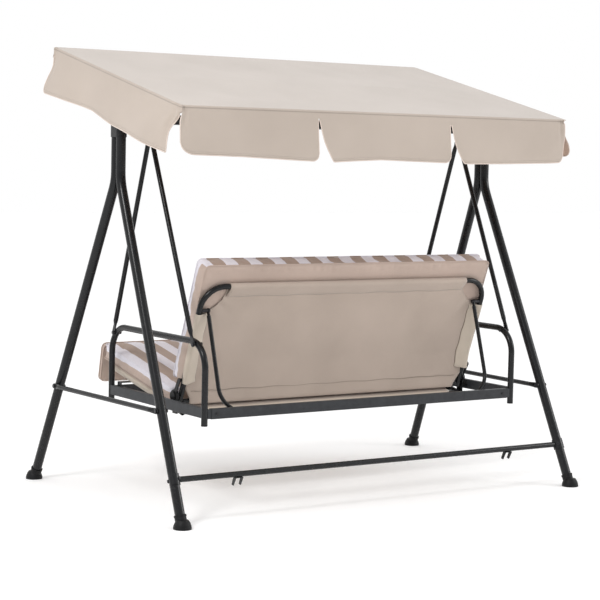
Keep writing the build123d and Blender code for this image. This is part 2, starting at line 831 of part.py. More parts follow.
def make_sling(label, plane_at, length, corner_gap):
    """A cloth panel stretched over its tubes, with a sleeve round each of them.
    plane_at(x, along, up) gives points, where up is the side that the sitter touches."""
    inner = loop_r + sleeve_clearance
    origin = plane_at(0, 0, 0)
    up = (plane_at(0, 0, 1) - origin).normalized()
    along = (plane_at(0, 1, 0) - origin).normalized()
    with BuildPart() as sling:
        sheet = Plane(origin=plane_at(0, 0, inner), x_dir=(1, 0, 0), z_dir=up)
        sheet_span = sheet.to_local_coords(plane_at(0, length, inner)).Y
        with BuildSketch(sheet):
            with Locations((0, sheet_span / 2)):
                Rectangle(2 * loop_x, length)
                with GridLocations(2 * loop_x, length, 2, 2):
                    Rectangle(2 * corner_gap, 2 * corner_gap, mode=Mode.SUBTRACT)
        extrude(amount=sleeve_cloth)
        runs = []
        for side in sides.values():
            runs.append((plane_at(side * loop_x, corner_gap, 0), along, length - 2 * corner_gap))
        cross_start = -(loop_x - corner_gap)
        for at in (0, length):
            runs.append((plane_at(cross_start, at, 0), Vector(1, 0, 0), 2 * (loop_x - corner_gap)))
        for start, direction, run in runs:
            with BuildSketch(Plane(origin=start, z_dir=direction)):
                Circle(sleeve_radius)
            extrude(amount=run)
        for start, direction, run in runs:
            with BuildSketch(Plane(origin=start - direction, z_dir=direction)):
                Circle(inner)
            extrude(amount=run + 2, mode=Mode.SUBTRACT)
    save(sling, label)


def make_seat_cushion():
    bottom = sleeve_radius + 1.0
    top = bottom + seat_cushion_thickness
    front = seat_length + seat_cushion_overhang
    rear = seat_cushion_rear_gap
    with BuildPart() as cushion:
        side_plane = Plane(
            origin=seat_point(-seat_cushion_half_width, 0, 0),
            x_dir=-seat_plane.y_dir,
            z_dir=(-1, 0, 0),
        )
        with BuildSketch(side_plane):
            with BuildLine():
                Polyline(
                    (rear, bottom),
                    (rear, top),
                    (front, top),
                    (front, bottom - flap_drop),
                    (front - flap_thickness, bottom - flap_drop),
                    (front - flap_thickness, bottom),
                    (rear, bottom),
                )
            make_face()
        extrude(amount=-2 * seat_cushion_half_width)
        fillet(cushion.edges().filter_by(Axis.X).group_by(Axis.Z)[-1], radius=18)
    save(cushion, "seat_cushion")


# ---------------------------------------------------------------------------
# Reclining backrest
# ---------------------------------------------------------------------------
back_plane = Plane(
    origin=(0, back_bottom_y + beam_y, back_bottom_z),
    x_dir=(1, 0, 0),
    z_dir=(0, -cos(radians(recline)), sin(radians(recline))),
)


def back_point(x, along, forward):
    """A point of the backrest, measured along it from its bottom tube and forward of its plane."""
    return back_plane.from_local_coords((x, along, forward))


back_dir = (back_point(0, 1, 0) - back_point(0, 0, 0)).normalized()
prop_pivot = back_point(0, prop_along, 0)
prop_bolt = 4.0


def make_back_frame():
    points = [
        back_point(loop_x, -loop_r, 0),
        back_point(loop_x, back_length, 0),
        back_point(-loop_x, back_length, 0),
        back_point(-loop_x, -loop_r, 0),
    ]
    loop = bent_tube(points, back_bend, loop_tube)
    save(loop, "back_loop")
    reach = loop_x - loop_r - 0.2
    save(bent_tube([back_point(-reach, 0, 0), back_point(reach, 0, 0)], 0, loop_tube), "back_bottom_tube")
    base_x = loop_x - loop_r + 1.5
    gap = base_x - prop_x
    with BuildPart() as pins:
        for side in sides.values():
            start = end_plane(side * base_x, prop_pivot.Y, prop_pivot.Z, -side)
            with BuildSketch(start):
                Circle(prop_bolt)
            extrude(amount=gap + plate)
            with BuildSketch(start):
                Circle(prop_bolt + 3)
            extrude(amount=gap - plate / 2 - joint_gap)
            with BuildSketch(start.offset(gap + plate / 2 + joint_gap)):
                Circle(prop_bolt + 3.5)
            extrude(amount=plate)
            with Locations(Plane(origin=back_point(side * loop_x, prop_along, 0), z_dir=back_dir)):
                Cylinder(loop_r + 0.05, 60, mode=Mode.SUBTRACT)
    save(pins, "prop_pins")


def make_back_cushion():
    bottom = sleeve_radius + 1.5
    low = back_cushion_bottom
    high = back_length + back_cushion_rise
    with BuildPart() as cushion:
        with BuildSketch(back_plane.offset(bottom)):
            with Locations((0, (low + high) / 2)):
                RectangleRounded(2 * back_cushion_half_width, high - low, 20)
        extrude(amount=back_cushion_thickness)
        rim = cushion.faces().sort_by(Axis.Y)[0].edges()
        fillet(rim, radius=10)
    save(cushion, "back_cushion")


# ---------------------------------------------------------------------------
# Ratchet hinges between seat and backrest
# ---------------------------------------------------------------------------
hinge_inner_x = loop_x + loop_r + 4.0
hinge_plate = 5.0
hinge_bolt = 5.0
tang_along = 95.0


def hinge_face(side, offset):
    return end_plane(side * (hinge_inner_x + offset), hinge_at[0], hinge_z, side)


def make_hinge_lower_leaves():
    """The lower leaves are held on the seat's tubes and stand on blocks beside the side rails."""
    width = 34.0
    block_low = side_rail_z - 14
    block_high = hinge_z - disc_radius - 3
    block_end = arm_x - rail_width / 2 - 0.1
    with BuildPart() as leaves:
        for side in sides.values():
            tube = seat_point(side * loop_x, 20, 0)
            drop = hinge_z - tube.Z
            with BuildSketch(hinge_face(side, 0)):
                Circle(disc_radius)
                with Locations((side * (tube.Y - hinge_at[0]), -drop / 2)):
                    Rectangle(width, drop + 2 * loop_r)
                Circle(hinge_bolt + 0.05, mode=Mode.SUBTRACT)
            extrude(amount=hinge_plate)
            with BuildSketch(end_plane(side * (loop_x + loop_r - 2), tube.Y, tube.Z, side)):
                Circle(8)
            extrude(amount=hinge_inner_x - loop_x - loop_r + 3)
            with Locations(Plane(origin=tube, z_dir=seat_plane.y_dir)):
                Cylinder(loop_r + 0.05, 120, mode=Mode.SUBTRACT)
            with BuildSketch(end_plane(side * hinge_inner_x, tube.Y, (block_low + block_high) / 2, side)):
                Rectangle(width, block_high - block_low)
            extrude(amount=block_end - hinge_inner_x)
    save(leaves, "hinge_lower_leaves")


def make_hinge_upper_leaves():
    """The upper leaves run up the outside of the backrest's tubes."""
    face_offset = hinge_plate + joint_gap
    with BuildPart() as leaves:
        for side in sides.values():
            step = back_point(side * loop_x, tang_along, 0)
            reach_y = side * (step.Y - hinge_at[0])
            reach_z = step.Z - hinge_z
            with BuildSketch(hinge_face(side, face_offset)):
                Circle(disc_radius - 1)
                with Locations((reach_y / 2, reach_z / 2)):
                    Rectangle(hypot(reach_y, reach_z), 18, rotation=degrees(atan2(reach_z, reach_y)))
                with Locations((reach_y, reach_z)):
                    Circle(9)
                Circle(hinge_bolt + running_clearance, mode=Mode.SUBTRACT)
            extrude(amount=hinge_plate)
            with BuildSketch(end_plane(side * (loop_x + loop_r - 2), step.Y, step.Z, side)):
                Circle(7)
            extrude(amount=hinge_inner_x + face_offset - loop_x - loop_r + 3)
            with Locations(Plane(origin=step, z_dir=back_dir)):
                Cylinder(loop_r + 0.05, 120, mode=Mode.SUBTRACT)
    save(leaves, "hinge_upper_leaves")


def make_hinge_axles():
    """The axles belong to the lower leaves and end in a round cover outside."""
    stack = 2 * hinge_plate + 2 * joint_gap
    head = 3.9
    cover = 7.0
    with BuildPart() as axles:
        for side in sides.values():
            with BuildSketch(hinge_face(side, -head - 0.1)):
                Circle(hinge_bolt + 4)
            extrude(amount=head)
            with BuildSketch(hinge_face(side, -head - 0.1)):
                Circle(hinge_bolt)
            extrude(amount=head + 0.1 + stack)
            with BuildSketch(hinge_face(side, stack)):
                Circle(18)
            extrude(amount=cover)
            fillet(axles.faces().sort_by(Axis.X)[-1 if side > 0 else 0].edges(), radius=3)
    save(axles, "hinge_axles")


# ---------------------------------------------------------------------------
# U-shaped prop
# ---------------------------------------------------------------------------
def make_prop():
    bar_y = prop_bar_y + beam_y
    down = Vector(0, bar_y - prop_pivot.Y, prop_bar_z - prop_pivot.Z)
    start_share = 20 / down.length
    neck = Vector(0, prop_pivot.Y, prop_pivot.Z) + down * start_share
    points = [
        (prop_x, neck.Y, neck.Z),
        (prop_x, bar_y, prop_bar_z),
        (-prop_x, bar_y, prop_bar_z),
        (-prop_x, neck.Y, neck.Z),
    ]
    with BuildPart() as prop:
        with BuildLine() as path:
            FilletPolyline(*points, radius=prop_bend)
        with BuildSketch(Plane(origin=path.line @ 0, z_dir=path.line % 0)):
            Circle(prop_tube / 2)
        sweep()
        for side in sides.values():
            eye = Plane(origin=(side * prop_x, prop_pivot.Y, prop_pivot.Z), x_dir=down, z_dir=(1, 0, 0))
            with BuildSketch(eye):
                Circle(9)
                with Locations((14, 0)):
                    Rectangle(28, 14)
                Circle(prop_bolt + running_clearance, mode=Mode.SUBTRACT)
            extrude(amount=plate / 2, both=True)
    save(prop, "back_prop")


os.makedirs("parts", exist_ok=True)
make_stand()
make_canopy_frame()
make_canopy_cloth()
make_canopy_knobs()
make_hanger_rods()
for arm_name, arm_side in sides.items():
    make_arm(f"arm_{arm_name}", arm_side)
make_arm_plugs()
make_rails()
make_seat_frame()
make_sling("seat_sling", seat_point, seat_length, seat_corner_opening)
make_seat_cushion()
make_back_frame()
make_sling("back_sling", back_point, back_length, back_corner_opening)
make_back_cushion()
make_hinge_lower_leaves()
make_hinge_upper_leaves()
make_hinge_axles()
make_prop()
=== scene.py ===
import json
import math

import bmesh
import bpy
import numpy as np
from mathutils import Matrix, Vector


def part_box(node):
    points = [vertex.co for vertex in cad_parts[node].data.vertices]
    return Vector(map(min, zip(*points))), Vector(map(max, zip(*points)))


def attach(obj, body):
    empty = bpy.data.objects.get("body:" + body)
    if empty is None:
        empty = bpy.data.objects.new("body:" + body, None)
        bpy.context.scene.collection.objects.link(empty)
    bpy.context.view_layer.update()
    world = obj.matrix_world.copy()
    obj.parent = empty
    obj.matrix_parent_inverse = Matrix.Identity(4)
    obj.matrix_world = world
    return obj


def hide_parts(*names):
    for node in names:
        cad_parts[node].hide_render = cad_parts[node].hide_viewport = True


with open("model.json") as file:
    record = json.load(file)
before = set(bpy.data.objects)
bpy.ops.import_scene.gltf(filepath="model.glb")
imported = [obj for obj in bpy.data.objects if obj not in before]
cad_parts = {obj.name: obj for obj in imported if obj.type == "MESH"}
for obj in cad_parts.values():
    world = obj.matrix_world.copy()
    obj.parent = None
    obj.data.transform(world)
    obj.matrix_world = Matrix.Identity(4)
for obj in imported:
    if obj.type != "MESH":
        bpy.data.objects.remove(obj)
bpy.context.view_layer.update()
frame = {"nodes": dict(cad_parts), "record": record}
nodes = frame["nodes"]
scene = bpy.context.scene

# Where things are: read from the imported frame, metres, +Z up
TUBE_R = 0.011  # the seat loop's and the back loop's tube


def middle(node):
    lo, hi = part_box(node)
    return (lo + hi) / 2


beam_y = middle("top_beam").y

# Camera
CAMERA_AZIMUTH, CAMERA_DOWN, CAMERA_ROLL = 146.513, 4.584, 1.2215
CAMERA_PLACE = Vector((4.0978, beam_y + 6.1249, 1.3476))
CAMERA_LENS, CAMERA_SENSOR, CAMERA_REACH = 107.15, 36.0, 60
azimuth, down, roll = math.radians(CAMERA_AZIMUTH), math.radians(CAMERA_DOWN), math.radians(CAMERA_ROLL)
look = Vector((-math.sin(azimuth) * math.cos(down), math.cos(azimuth) * math.cos(down), -math.sin(down)))
right = look.cross(Vector((0, 0, 1))).normalized()
upward = right.cross(look)
right, upward = (
    math.cos(roll) * right + math.sin(roll) * upward,
    -math.sin(roll) * right + math.cos(roll) * upward,
)
camera_data = bpy.data.cameras.new("camera")
camera = bpy.data.objects.new("camera", camera_data)
scene.collection.objects.link(camera)
camera_data.lens, camera_data.sensor_width = CAMERA_LENS, CAMERA_SENSOR
camera.matrix_world = Matrix((
    (right.x, upward.x, -look.x, CAMERA_PLACE.x),
    (right.y, upward.y, -look.y, CAMERA_PLACE.y),
    (right.z, upward.z, -look.z, CAMERA_PLACE.z),
    (0, 0, 0, 1),
))
camera_data.clip_end = CAMERA_REACH
scene.camera = camera


# Mesh helpers
def mesh_object(name, points, faces, materials=(), face_materials=None, uv=None, smooth=True):
    """A mesh from points and faces. uv gives each face corner's place on the flat cloth, in metres."""
    mesh = bpy.data.meshes.new(name)
    mesh.from_pydata([tuple(p) for p in points], [], [tuple(f) for f in faces])
    for material in materials:
        mesh.materials.append(material)
    if face_materials is not None:
        mesh.polygons.foreach_set("material_index", np.array(face_materials, np.int32))
    if uv is not None:
        layer = mesh.uv_layers.new(name="cloth")
        layer.data.foreach_set("uv", np.array(uv, np.float32).ravel())
    mesh.polygons.foreach_set("use_smooth", np.full(len(mesh.polygons), smooth))
    mesh.validate()
    mesh.update()
    obj = bpy.data.objects.new(name, mesh)
    scene.collection.objects.link(obj)
    return obj


def apply_modifiers(obj):
    """Makes the object's evaluated mesh its own mesh, and drops the modifiers."""
    graph = bpy.context.evaluated_depsgraph_get()
    graph.update()
    made = bpy.data.meshes.new_from_object(
        obj.evaluated_get(graph), preserve_all_data_layers=True, depsgraph=graph
    )
    old = obj.data
    obj.modifiers.clear()
    obj.data = made
    bpy.data.meshes.remove(old)
    made.name = obj.name


def face_outwards(obj):
    bm = bmesh.new()
    bm.from_mesh(obj.data)
    bmesh.ops.recalc_face_normals(bm, faces=bm.faces)
    bm.to_mesh(obj.data)
    bm.free()


def solidify(obj, thickness, offset=0.0, inner_material=0):
    modifier = obj.modifiers.new("thickness", "SOLIDIFY")
    modifier.thickness = thickness
    modifier.offset = offset
    modifier.use_even_offset = False
    modifier.material_offset = inner_material
    return modifier


def tube_mesh(name, path, radius, material, closed=False, sides=8, caps=True):
    """A round cord along points, as one closed mesh."""
    path = [Vector(p) for p in path]
    count = len(path)
    points, faces = [], []
    normal = None
    for i, p in enumerate(path):
        before = path[i - 1] if (i > 0 or closed) else p
        after = path[(i + 1) % count] if (i < count - 1 or closed) else p
        tangent = (after - before).normalized()
        if normal is None:
            normal = tangent.orthogonal().normalized()
        normal = (normal - tangent * normal.dot(tangent)).normalized()
        side = tangent.cross(normal)
        for k in range(sides):
            angle = 2 * math.pi * k / sides
            points.append(p + radius * (math.cos(angle) * normal + math.sin(angle) * side))
    for i in range(count if closed else count - 1):
        j = (i + 1) % count
        for k in range(sides):
            m = (k + 1) % sides
            faces.append((i * sides + k, i * sides + m, j * sides + m, j * sides + k))
    if caps and not closed:
        faces.append(tuple(reversed(range(sides))))
        faces.append(tuple((count - 1) * sides + k for k in range(sides)))
    return mesh_object(name, points, faces, [material])


def smooth_step(x):
    x = np.clip(x, 0.0, 1.0)
    return x * x * (3 - 2 * x)


# Materials
class Shader:
    """A small builder for one material's nodes."""

    def __init__(self, name, roughness, metallic=0.0, specular=0.5, sheen=0.0):
        self.material = bpy.data.materials.new(name)
        self.material.use_nodes = True
        self.tree = self.material.node_tree
        self.nodes, self.links = self.tree.nodes, self.tree.links
        self.shader = self.nodes["Principled BSDF"]
        self.shader.inputs["Roughness"].default_value = roughness
        self.shader.inputs["Metallic"].default_value = metallic
        self.shader.inputs["Specular IOR Level"].default_value = specular
        self.shader.inputs["Sheen Weight"].default_value = sheen
        self.shader.inputs["Sheen Roughness"].default_value = 0.5

    def add(self, kind, **values):
        node = self.nodes.new(kind)
        for key, value in values.items():
            setattr(node, key, value)
        return node

    def link(self, source, target):
        self.links.new(source, target)

    def place(self):
        return self.add("ShaderNodeTexCoord").outputs["Object"]

    def split(self, vector):
        node = self.add("ShaderNodeSeparateXYZ")
        self.link(vector, node.inputs[0])
        return node.outputs

    def cloth_uv(self):
        return self.add("ShaderNodeUVMap", uv_map="cloth").outputs["UV"]

    def noise(self, scale, detail=3.0, vector=None, roughness=0.5):
        node = self.add("ShaderNodeTexNoise")
        node.inputs["Scale"].default_value = scale
        node.inputs["Detail"].default_value = detail
        node.inputs["Roughness"].default_value = roughness
        self.link(vector or self.place(), node.inputs["Vector"])
        return node.outputs["Fac"]

    def math(self, operation, a, b=None, c=None):
        node = self.add("ShaderNodeMath", operation=operation)
        for index, value in enumerate((a, b, c)):
            if value is None:
                continue
            if isinstance(value, (int, float)):
                node.inputs[index].default_value = value
            else:
                self.link(value, node.inputs[index])
        return node.outputs[0]

    def ramp(self, factor, stops):
        node = self.add("ShaderNodeValToRGB")
        elements = node.color_ramp.elements
        while len(elements) < len(stops):
            elements.new(0.5)
        for element, (position, colour) in zip(elements, stops):
            element.position = position
            element.color = (*colour, 1.0) if len(colour) == 3 else colour
        self.link(factor, node.inputs["Fac"])
        return node.outputs["Color"]

    def mix(self, factor, a, b, blend="MIX"):
        node = self.add("ShaderNodeMix", data_type="RGBA", blend_type=blend)
        for socket, value in ((node.inputs[0], factor), (node.inputs[6], a), (node.inputs[7], b)):
            if isinstance(value, (int, float)):
                socket.default_value = value
            elif isinstance(value, tuple):
                socket.default_value = (*value, 1.0)
            else:
                self.link(value, socket)
        return node.outputs[2]

    def bump(self, height, distance, strength=1.0, normal=None):
        node = self.add("ShaderNodeBump")
        node.inputs["Strength"].default_value = strength
        node.inputs["Distance"].default_value = distance
        self.link(height, node.inputs["Height"])
        if normal is not None:
            self.link(normal, node.inputs["Normal"])
        return node.outputs["Normal"]

    def finish(self, colour=None, normal=None, roughness=None):
        if colour is not None:
            self.link(colour, self.shader.inputs["Base Color"])
        if normal is not None:
            self.link(normal, self.shader.inputs["Normal"])
        if roughness is not None:
            self.link(roughness, self.shader.inputs["Roughness"])
        return self.material


def powder_coat(name, dark, light, roughness, grain=900.0, wear=0.35):
    """Satin powder coat: fine orange-peel grain, slow shade changes and lighter rubbed edges."""
    s = Shader(name, roughness, specular=0.3)
    place = s.place()
    clouds = s.noise(9.0, 4.0, place)
    base = s.ramp(clouds, [(0.3, dark), (0.7, light)])
    edges = s.add("ShaderNodeNewGeometry").outputs["Pointiness"]
    rub = s.math("MULTIPLY", s.ramp(edges, [(0.52, (0, 0, 0)), (0.62, (1, 1, 1))]), s.noise(60.0, 3.0, place))
    rub = s.math("MULTIPLY", rub, wear)
    worn = tuple(min(1.0, 2.6 * c + 0.02) for c in light)
    colour = s.mix(rub, base, worn)
    rough = s.math("MULTIPLY_ADD", s.noise(35.0, 3.0, place), 0.16, roughness - 0.08)
    peel = s.bump(s.noise(grain, 2.0, place), 0.0004, 0.12)
    return s.finish(colour, peel, rough)


def moulded_plastic(name, dark, light, roughness):
    s = Shader(name, roughness, specular=0.2)
    place = s.place()
    colour = s.ramp(s.noise(22.0, 4.0, place), [(0.3, dark), (0.75, light)])
    rough = s.math("MULTIPLY_ADD", s.noise(80.0, 2.0, place), 0.2, roughness - 0.1)
    return s.finish(colour, s.bump(s.noise(1600.0, 2.0, place), 0.0004, 0.35), rough)


def weave_height(s, across, along, pitch):
    """A plain weave from two sets of crossing threads, raised in turn."""
    turns = 2 * math.pi / pitch
    warp = s.math("ABSOLUTE", s.math("SINE", s.math("MULTIPLY", across, turns / 2)))
    weft = s.math("ABSOLUTE", s.math("SINE", s.math("MULTIPLY", along, turns / 2)))
    over = s.math("MULTIPLY", s.math("SINE", s.math("MULTIPLY", across, turns / 2)),
                  s.math("SINE", s.math("MULTIPLY", along, turns / 2)))
    up = s.math("GREATER_THAN", over, 0.0)
    down_ = s.math("SUBTRACT", 1.0, up)
    return s.math("ADD", s.math("MULTIPLY", warp, up), s.math("MULTIPLY", weft, down_))


# The seam's painted shade, a thin dark line: its depth below the top edge and its half width. Then the hem's
# stitched line.
SEAM_SHADE_DEPTH, SEAM_SHADE_HALF_WIDTH = 0.0105, 0.0032
STITCH_FROM_HEM, STITCH_HALF_WIDTH, STITCH_PITCH, STITCH_SHARE = 0.011, 0.0007, 0.0042, 0.72


def fabric(name, dark, light, coordinates="uv", pitch=0.0011, stripes=None, seam_shade_and_stitches=False,
           roughness=0.85, sheen=0.25, crease=0.0):
    """Woven cloth. Stripes change with X. The seam switch paints shade in a thin dark line along a valance's
    top seam and draws its stitched hem.
    """
    s = Shader(name, roughness, specular=0.25, sheen=sheen)
    place = s.place()
    if coordinates == "uv":
        parts = s.split(s.cloth_uv())
        across, along = parts["X"], parts["Y"]
    else:
        parts = s.split(place)
        across, along = parts["X"], s.math("ADD", parts["Y"], parts["Z"])
    clouds = s.noise(3.5, 4.0, place)
    colour = s.ramp(clouds, [(0.3, dark), (0.7, light)])
    if stripes is not None:
        # Stripe edges wander by a fraction of a thread.
        start, first, width, pale, deep = stripes
        from_end = s.math("SUBTRACT", start, s.split(place)["X"])
        wander = s.math("MULTIPLY_ADD", s.noise(260.0, 1.0, place), 0.0012, -0.0006)
        run = s.math("SUBTRACT", s.math("ADD", from_end, wander), first)
        phase = s.math("FRACT", s.math("DIVIDE", run, 2 * width))
        is_deep = s.math("LESS_THAN", phase, 0.5)
        in_range = s.math("GREATER_THAN", run, 0.0)
        is_deep = s.math("MULTIPLY", is_deep, in_range)
        shade = s.ramp(clouds, [(0.3, (0.94, 0.94, 0.94)), (0.7, (1, 1, 1))])
        colour = s.mix(1.0, s.mix(is_deep, pale, deep), shade, "MULTIPLY")
    thread = s.noise(700.0, 2.0, place)
    colour = s.mix(1.0, colour, s.ramp(thread, [(0.2, (0.90, 0.90, 0.90)), (0.8, (1, 1, 1))]), "MULTIPLY")
    height = weave_height(s, across, along, pitch)
    # The weave's low points are darkened: painted shade between the threads.
    weave_shade = s.ramp(height, [(0.0, (0.86, 0.86, 0.86)), (0.8, (1, 1, 1))])
    colour = s.mix(1.0, colour, weave_shade, "MULTIPLY")
    normal = s.bump(height, 0.0003, 0.5)
    if crease:
        normal = s.bump(s.noise(28.0, 5.0, place, 0.6), crease, 0.5, normal)
    if seam_shade_and_stitches:
        # The edge layer holds the depth below the top edge and the distance to the hem.
        parts = s.split(s.add("ShaderNodeUVMap", uv_map="edge").outputs["UV"])
        depth, to_hem = parts["X"], parts["Y"]
        # Painted shade: a thin dark line along the seam groove below the top edge.
        off_seam_shade = s.math("ABSOLUTE", s.math("SUBTRACT", depth, SEAM_SHADE_DEPTH))
        seam = s.math("SUBTRACT", 1.0, s.math("DIVIDE", off_seam_shade, SEAM_SHADE_HALF_WIDTH))
        seam = s.math("MAXIMUM", seam, 0.0)
        colour = s.mix(s.math("MULTIPLY", seam, 0.55), colour, tuple(c * 0.35 for c in dark))
        off_line = s.math("ABSOLUTE", s.math("SUBTRACT", to_hem, STITCH_FROM_HEM))
        line = s.math("LESS_THAN", off_line, STITCH_HALF_WIDTH)
        dash = s.math("LESS_THAN", s.math("FRACT", s.math("DIVIDE", across, STITCH_PITCH)), STITCH_SHARE)
        stitches = s.math("MULTIPLY", line, dash)
        colour = s.mix(s.math("MULTIPLY", stitches, 0.5), colour, tuple(c * 0.6 for c in dark))
        normal = s.bump(stitches, 0.0006, 0.6, normal)
    return s.finish(colour, normal)


# Colours, linear
frame_paint = powder_coat("frame_satin", (0.0036, 0.0040, 0.0046), (0.0070, 0.0076, 0.0086), 0.26)
rail_paint = powder_coat("rail_satin", (0.0145, 0.0155, 0.018), (0.022, 0.0235, 0.0265), 0.42)
hinge_paint = powder_coat("hinge_black", (0.003, 0.003, 0.0035), (0.006, 0.006, 0.007), 0.38)
bolt_paint = powder_coat("bolt_black", (0.005, 0.005, 0.006), (0.010, 0.010, 0.012), 0.3, wear=0.6)
foot_plastic = moulded_plastic("foot_plastic", (0.006, 0.006, 0.0065), (0.013, 0.013, 0.014), 0.48)
cover_top = fabric("canopy_cloth", (0.575, 0.515, 0.465), (0.625, 0.56, 0.51), crease=0.0008)
# The valance is the same cloth as the top, made darker: painted shade of the hanging sides, which take less
# light than the top.
cover_side_painted_shade = fabric("valance_cloth", (0.495, 0.42, 0.36), (0.55, 0.47, 0.405), seam_shade_and_stitches=True, crease=0.0008)
# The inside of the cover is the same cloth in a warmer peach: painted light that shines through the cloth.
cover_inside_painted_light = fabric("canopy_inside_painted_light", (0.56, 0.40, 0.31), (0.62, 0.45, 0.35), crease=0.0008)
binding_cloth = fabric("binding_cloth", (0.72, 0.60, 0.53), (0.80, 0.69, 0.61), coordinates="object",
                       pitch=0.0008)
sling_cloth = fabric("sling_cloth", (0.455, 0.372, 0.312), (0.525, 0.430, 0.365), pitch=0.0014, crease=0.0004)
# Same cloth as the sling, made lighter for the sleeves: painted light, as the sleeves face the light more
# than the panel.
sling_sleeve_painted_light = fabric("sling_sleeve_painted_light", (0.56, 0.485, 0.40), (0.64, 0.555, 0.46), pitch=0.0014)
plain_cloth = fabric("cushion_plain", (0.49, 0.382, 0.322), (0.57, 0.445, 0.378), coordinates="object",
                     crease=0.0012)
stripe_white, stripe_taupe = (0.83, 0.80, 0.86), (0.42, 0.315, 0.255)
# The dark thread sews the far sleeve at -x: a stitch darkened as painted shade of the gap along that edge.
# The pale thread sews the rest.
thread_dark_painted_shade = powder_coat("seam_thread", (0.06, 0.045, 0.035), (0.09, 0.07, 0.055), 0.8, wear=0.0)
thread_pale = powder_coat("seam_thread_pale", (0.27, 0.23, 0.19), (0.33, 0.28, 0.24), 0.8, wear=0.0)

slot_paint = {
    "frame_paint": frame_paint,
    "rail_paint": rail_paint,
    "hinge_paint": hinge_paint,
    "bolt_steel": bolt_paint,
    "foot_plastic": foot_plastic,
    "knob_plastic": foot_plastic,
    "canopy_cloth": cover_top,
    "valance_cloth": cover_side_painted_shade,
    "sling_cloth": sling_cloth,
    "cushion_cloth": plain_cloth,
}
for row in frame["record"]["subparts"]:
    for material_slot in nodes[row["node"]].material_slots:
        material_slot.material = slot_paint[row["material_slot"]]

# Canopy cover: one cloth with rounded edges, gathered corners and slit valances
COVER_CLOTH = 0.003
box_low, box_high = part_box("canopy_top")
canopy_half = box_high.x
tilt = 0.23
for _ in range(6):
    tilt = math.atan2(
        box_high.z - box_low.z - COVER_CLOTH * math.cos(tilt),
        box_high.y - box_low.y - COVER_CLOTH * math.sin(tilt),
    )
canopy_depth = (box_high.y - box_low.y - COVER_CLOTH * math.sin(tilt)) / math.cos(tilt)
canopy_front = Vector((0, box_low.y + COVER_CLOTH * math.sin(tilt), box_high.z))
canopy_v = Vector((0, math.cos(tilt), -math.sin(tilt)))
canopy_w = Vector((0, math.sin(tilt), math.cos(tilt)))
side_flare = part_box("canopy_valance_left")[1].x - canopy_half
EDGE_R = 0.005


def spaced_lines(stops, fine, coarse, reach):
    """Grid lines between stops, fine within reach of each stop and coarse elsewhere."""
    lines = [stops[0]]
    for a, b in zip(stops, stops[1:]):
        at = a
        while at < b - 1e-9:
            near = min(at - a, b - at)
            step = fine + (coarse - fine) * smooth_step(near / reach)
            at = min(b, at + step)
            if b - at < fine * 0.6:
                at = b
            lines.append(at)
    return np.array(lines)


# Where the two slits in the rear and in the front valance are, and how wide each is cut.
SLITS_X, SLIT_HALF_WIDTH = (-0.308, 0.3225), 0.0008
CORNER_PULL = 0.0030

# Outlines of the panels' side edges: (depth below the top edge, how far the edge is drawn back there).
SPREAD = ((0.038, 0.0), (0.042, 0.003), (0.05, 0.006), (0.085, 0.013), (0.117, 0.021),
          (0.145, 0.033), (0.168, 0.045), (0.19, 0.054))
SMALL = ((0.038, 0.0), (0.042, 0.002), (0.05, 0.003), (0.13, 0.003), (0.2, 0.004))
END_OUT = ((0.0, 0.0), (0.03, -0.006), (0.05, -0.014), (0.063, -0.017), (0.104, -0.018),
           (0.141, -0.020), (0.2, -0.018))
HOOKED = ((0.030, 0.0), (0.040, 0.0), (0.052, 0.008), (0.067, 0.021), (0.093, 0.041), (0.114, 0.042),
          (0.141, 0.028), (0.165, 0.017), (0.19, 0.008))
LEANING = ((0.0, 0.0), (0.006, 0.006), (0.014, 0.010), (0.022, 0.004), (0.084, 0.011), (0.138, 0.025),
           (0.2, 0.030))
LOBED = ((0.006, 0.0), (0.014, 0.006), (0.045, 0.008), (0.075, -0.002), (0.103, -0.009), (0.149, -0.002),
         (0.2, 0.0))
GENTLE = ((0.02, 0.0), (0.08, 0.004), (0.14, 0.010), (0.2, 0.014))

# For each side: how far it hangs, how far its hem stands out, and the way out, level and along the top.
HANG = {"left": 0.184, "right": 0.184, "rear": 0.187, "front": 0.187}
FLARE = {"left": side_flare, "right": side_flare, "rear": 0.018, "front": 0.018}
OUTWARD = {
    "left": Vector((1, 0, 0)), "right": Vector((-1, 0, 0)),
    "rear": Vector((0, 1, 0)), "front": Vector((0, -1, 0)),
}
PLANE_OUT = {"left": Vector((1, 0, 0)), "right": Vector((-1, 0, 0)), "rear": canopy_v, "front": -canopy_v}


def valance_wave(side, u):
    """How far the hem swings out, along the edge."""
    if side == "rear":
        return (0.010 * math.sin(4.1 * u + 0.9) + 0.0045 * math.sin(11.3 * u + 0.4)
                + 0.0015 * math.sin(29 * u + 2.0))
    if side == "left":
        return 0.012 * math.sin(7.2 * u - 1.2) + 0.004 * math.sin(17 * u)
    if side == "right":
        return 0.012 * math.sin(6.4 * u + 0.5) + 0.004 * math.sin(15 * u + 1.0)
    return 0.010 * math.sin(5.2 * u + 2.1) + 0.005 * math.sin(13.1 * u + 0.7)


def length_change(side, u, x, y):
    """How much longer than usual a valance hangs."""
    if side == "left":
        return float(np.interp(y - beam_y, [-0.56, -0.38, -0.115, 0.07, 0.30, 0.5],
                               [0.010, -0.002, -0.011, 0.002, 0.001, 0.000]))
    if side == "right":
        return -0.016 * smooth_step(1 - (0.51 - (y - beam_y)) / 0.15)
    if side == "rear":
        return float(np.interp(-x, [-0.9, -0.67, -0.40, -0.27, -0.03, 0.26, 0.38, 0.56, 0.80, 0.9],
                               [-0.008, -0.004, 0.006, 0.009, -0.003, 0.003, 0.006, 0.003, -0.004, -0.008]))
    return 0.006 * math.sin(6 * u)


def round_edge(base, outward, angle):
    """The point at an angle along the quarter round that starts at base."""
    return base + outward * (EDGE_R * math.sin(angle)) - Vector((0, 0, EDGE_R * (1 - math.cos(angle))))


def table(rows, depth):
    return float(np.interp(depth, [r[0] for r in rows], [r[1] for r in rows]))


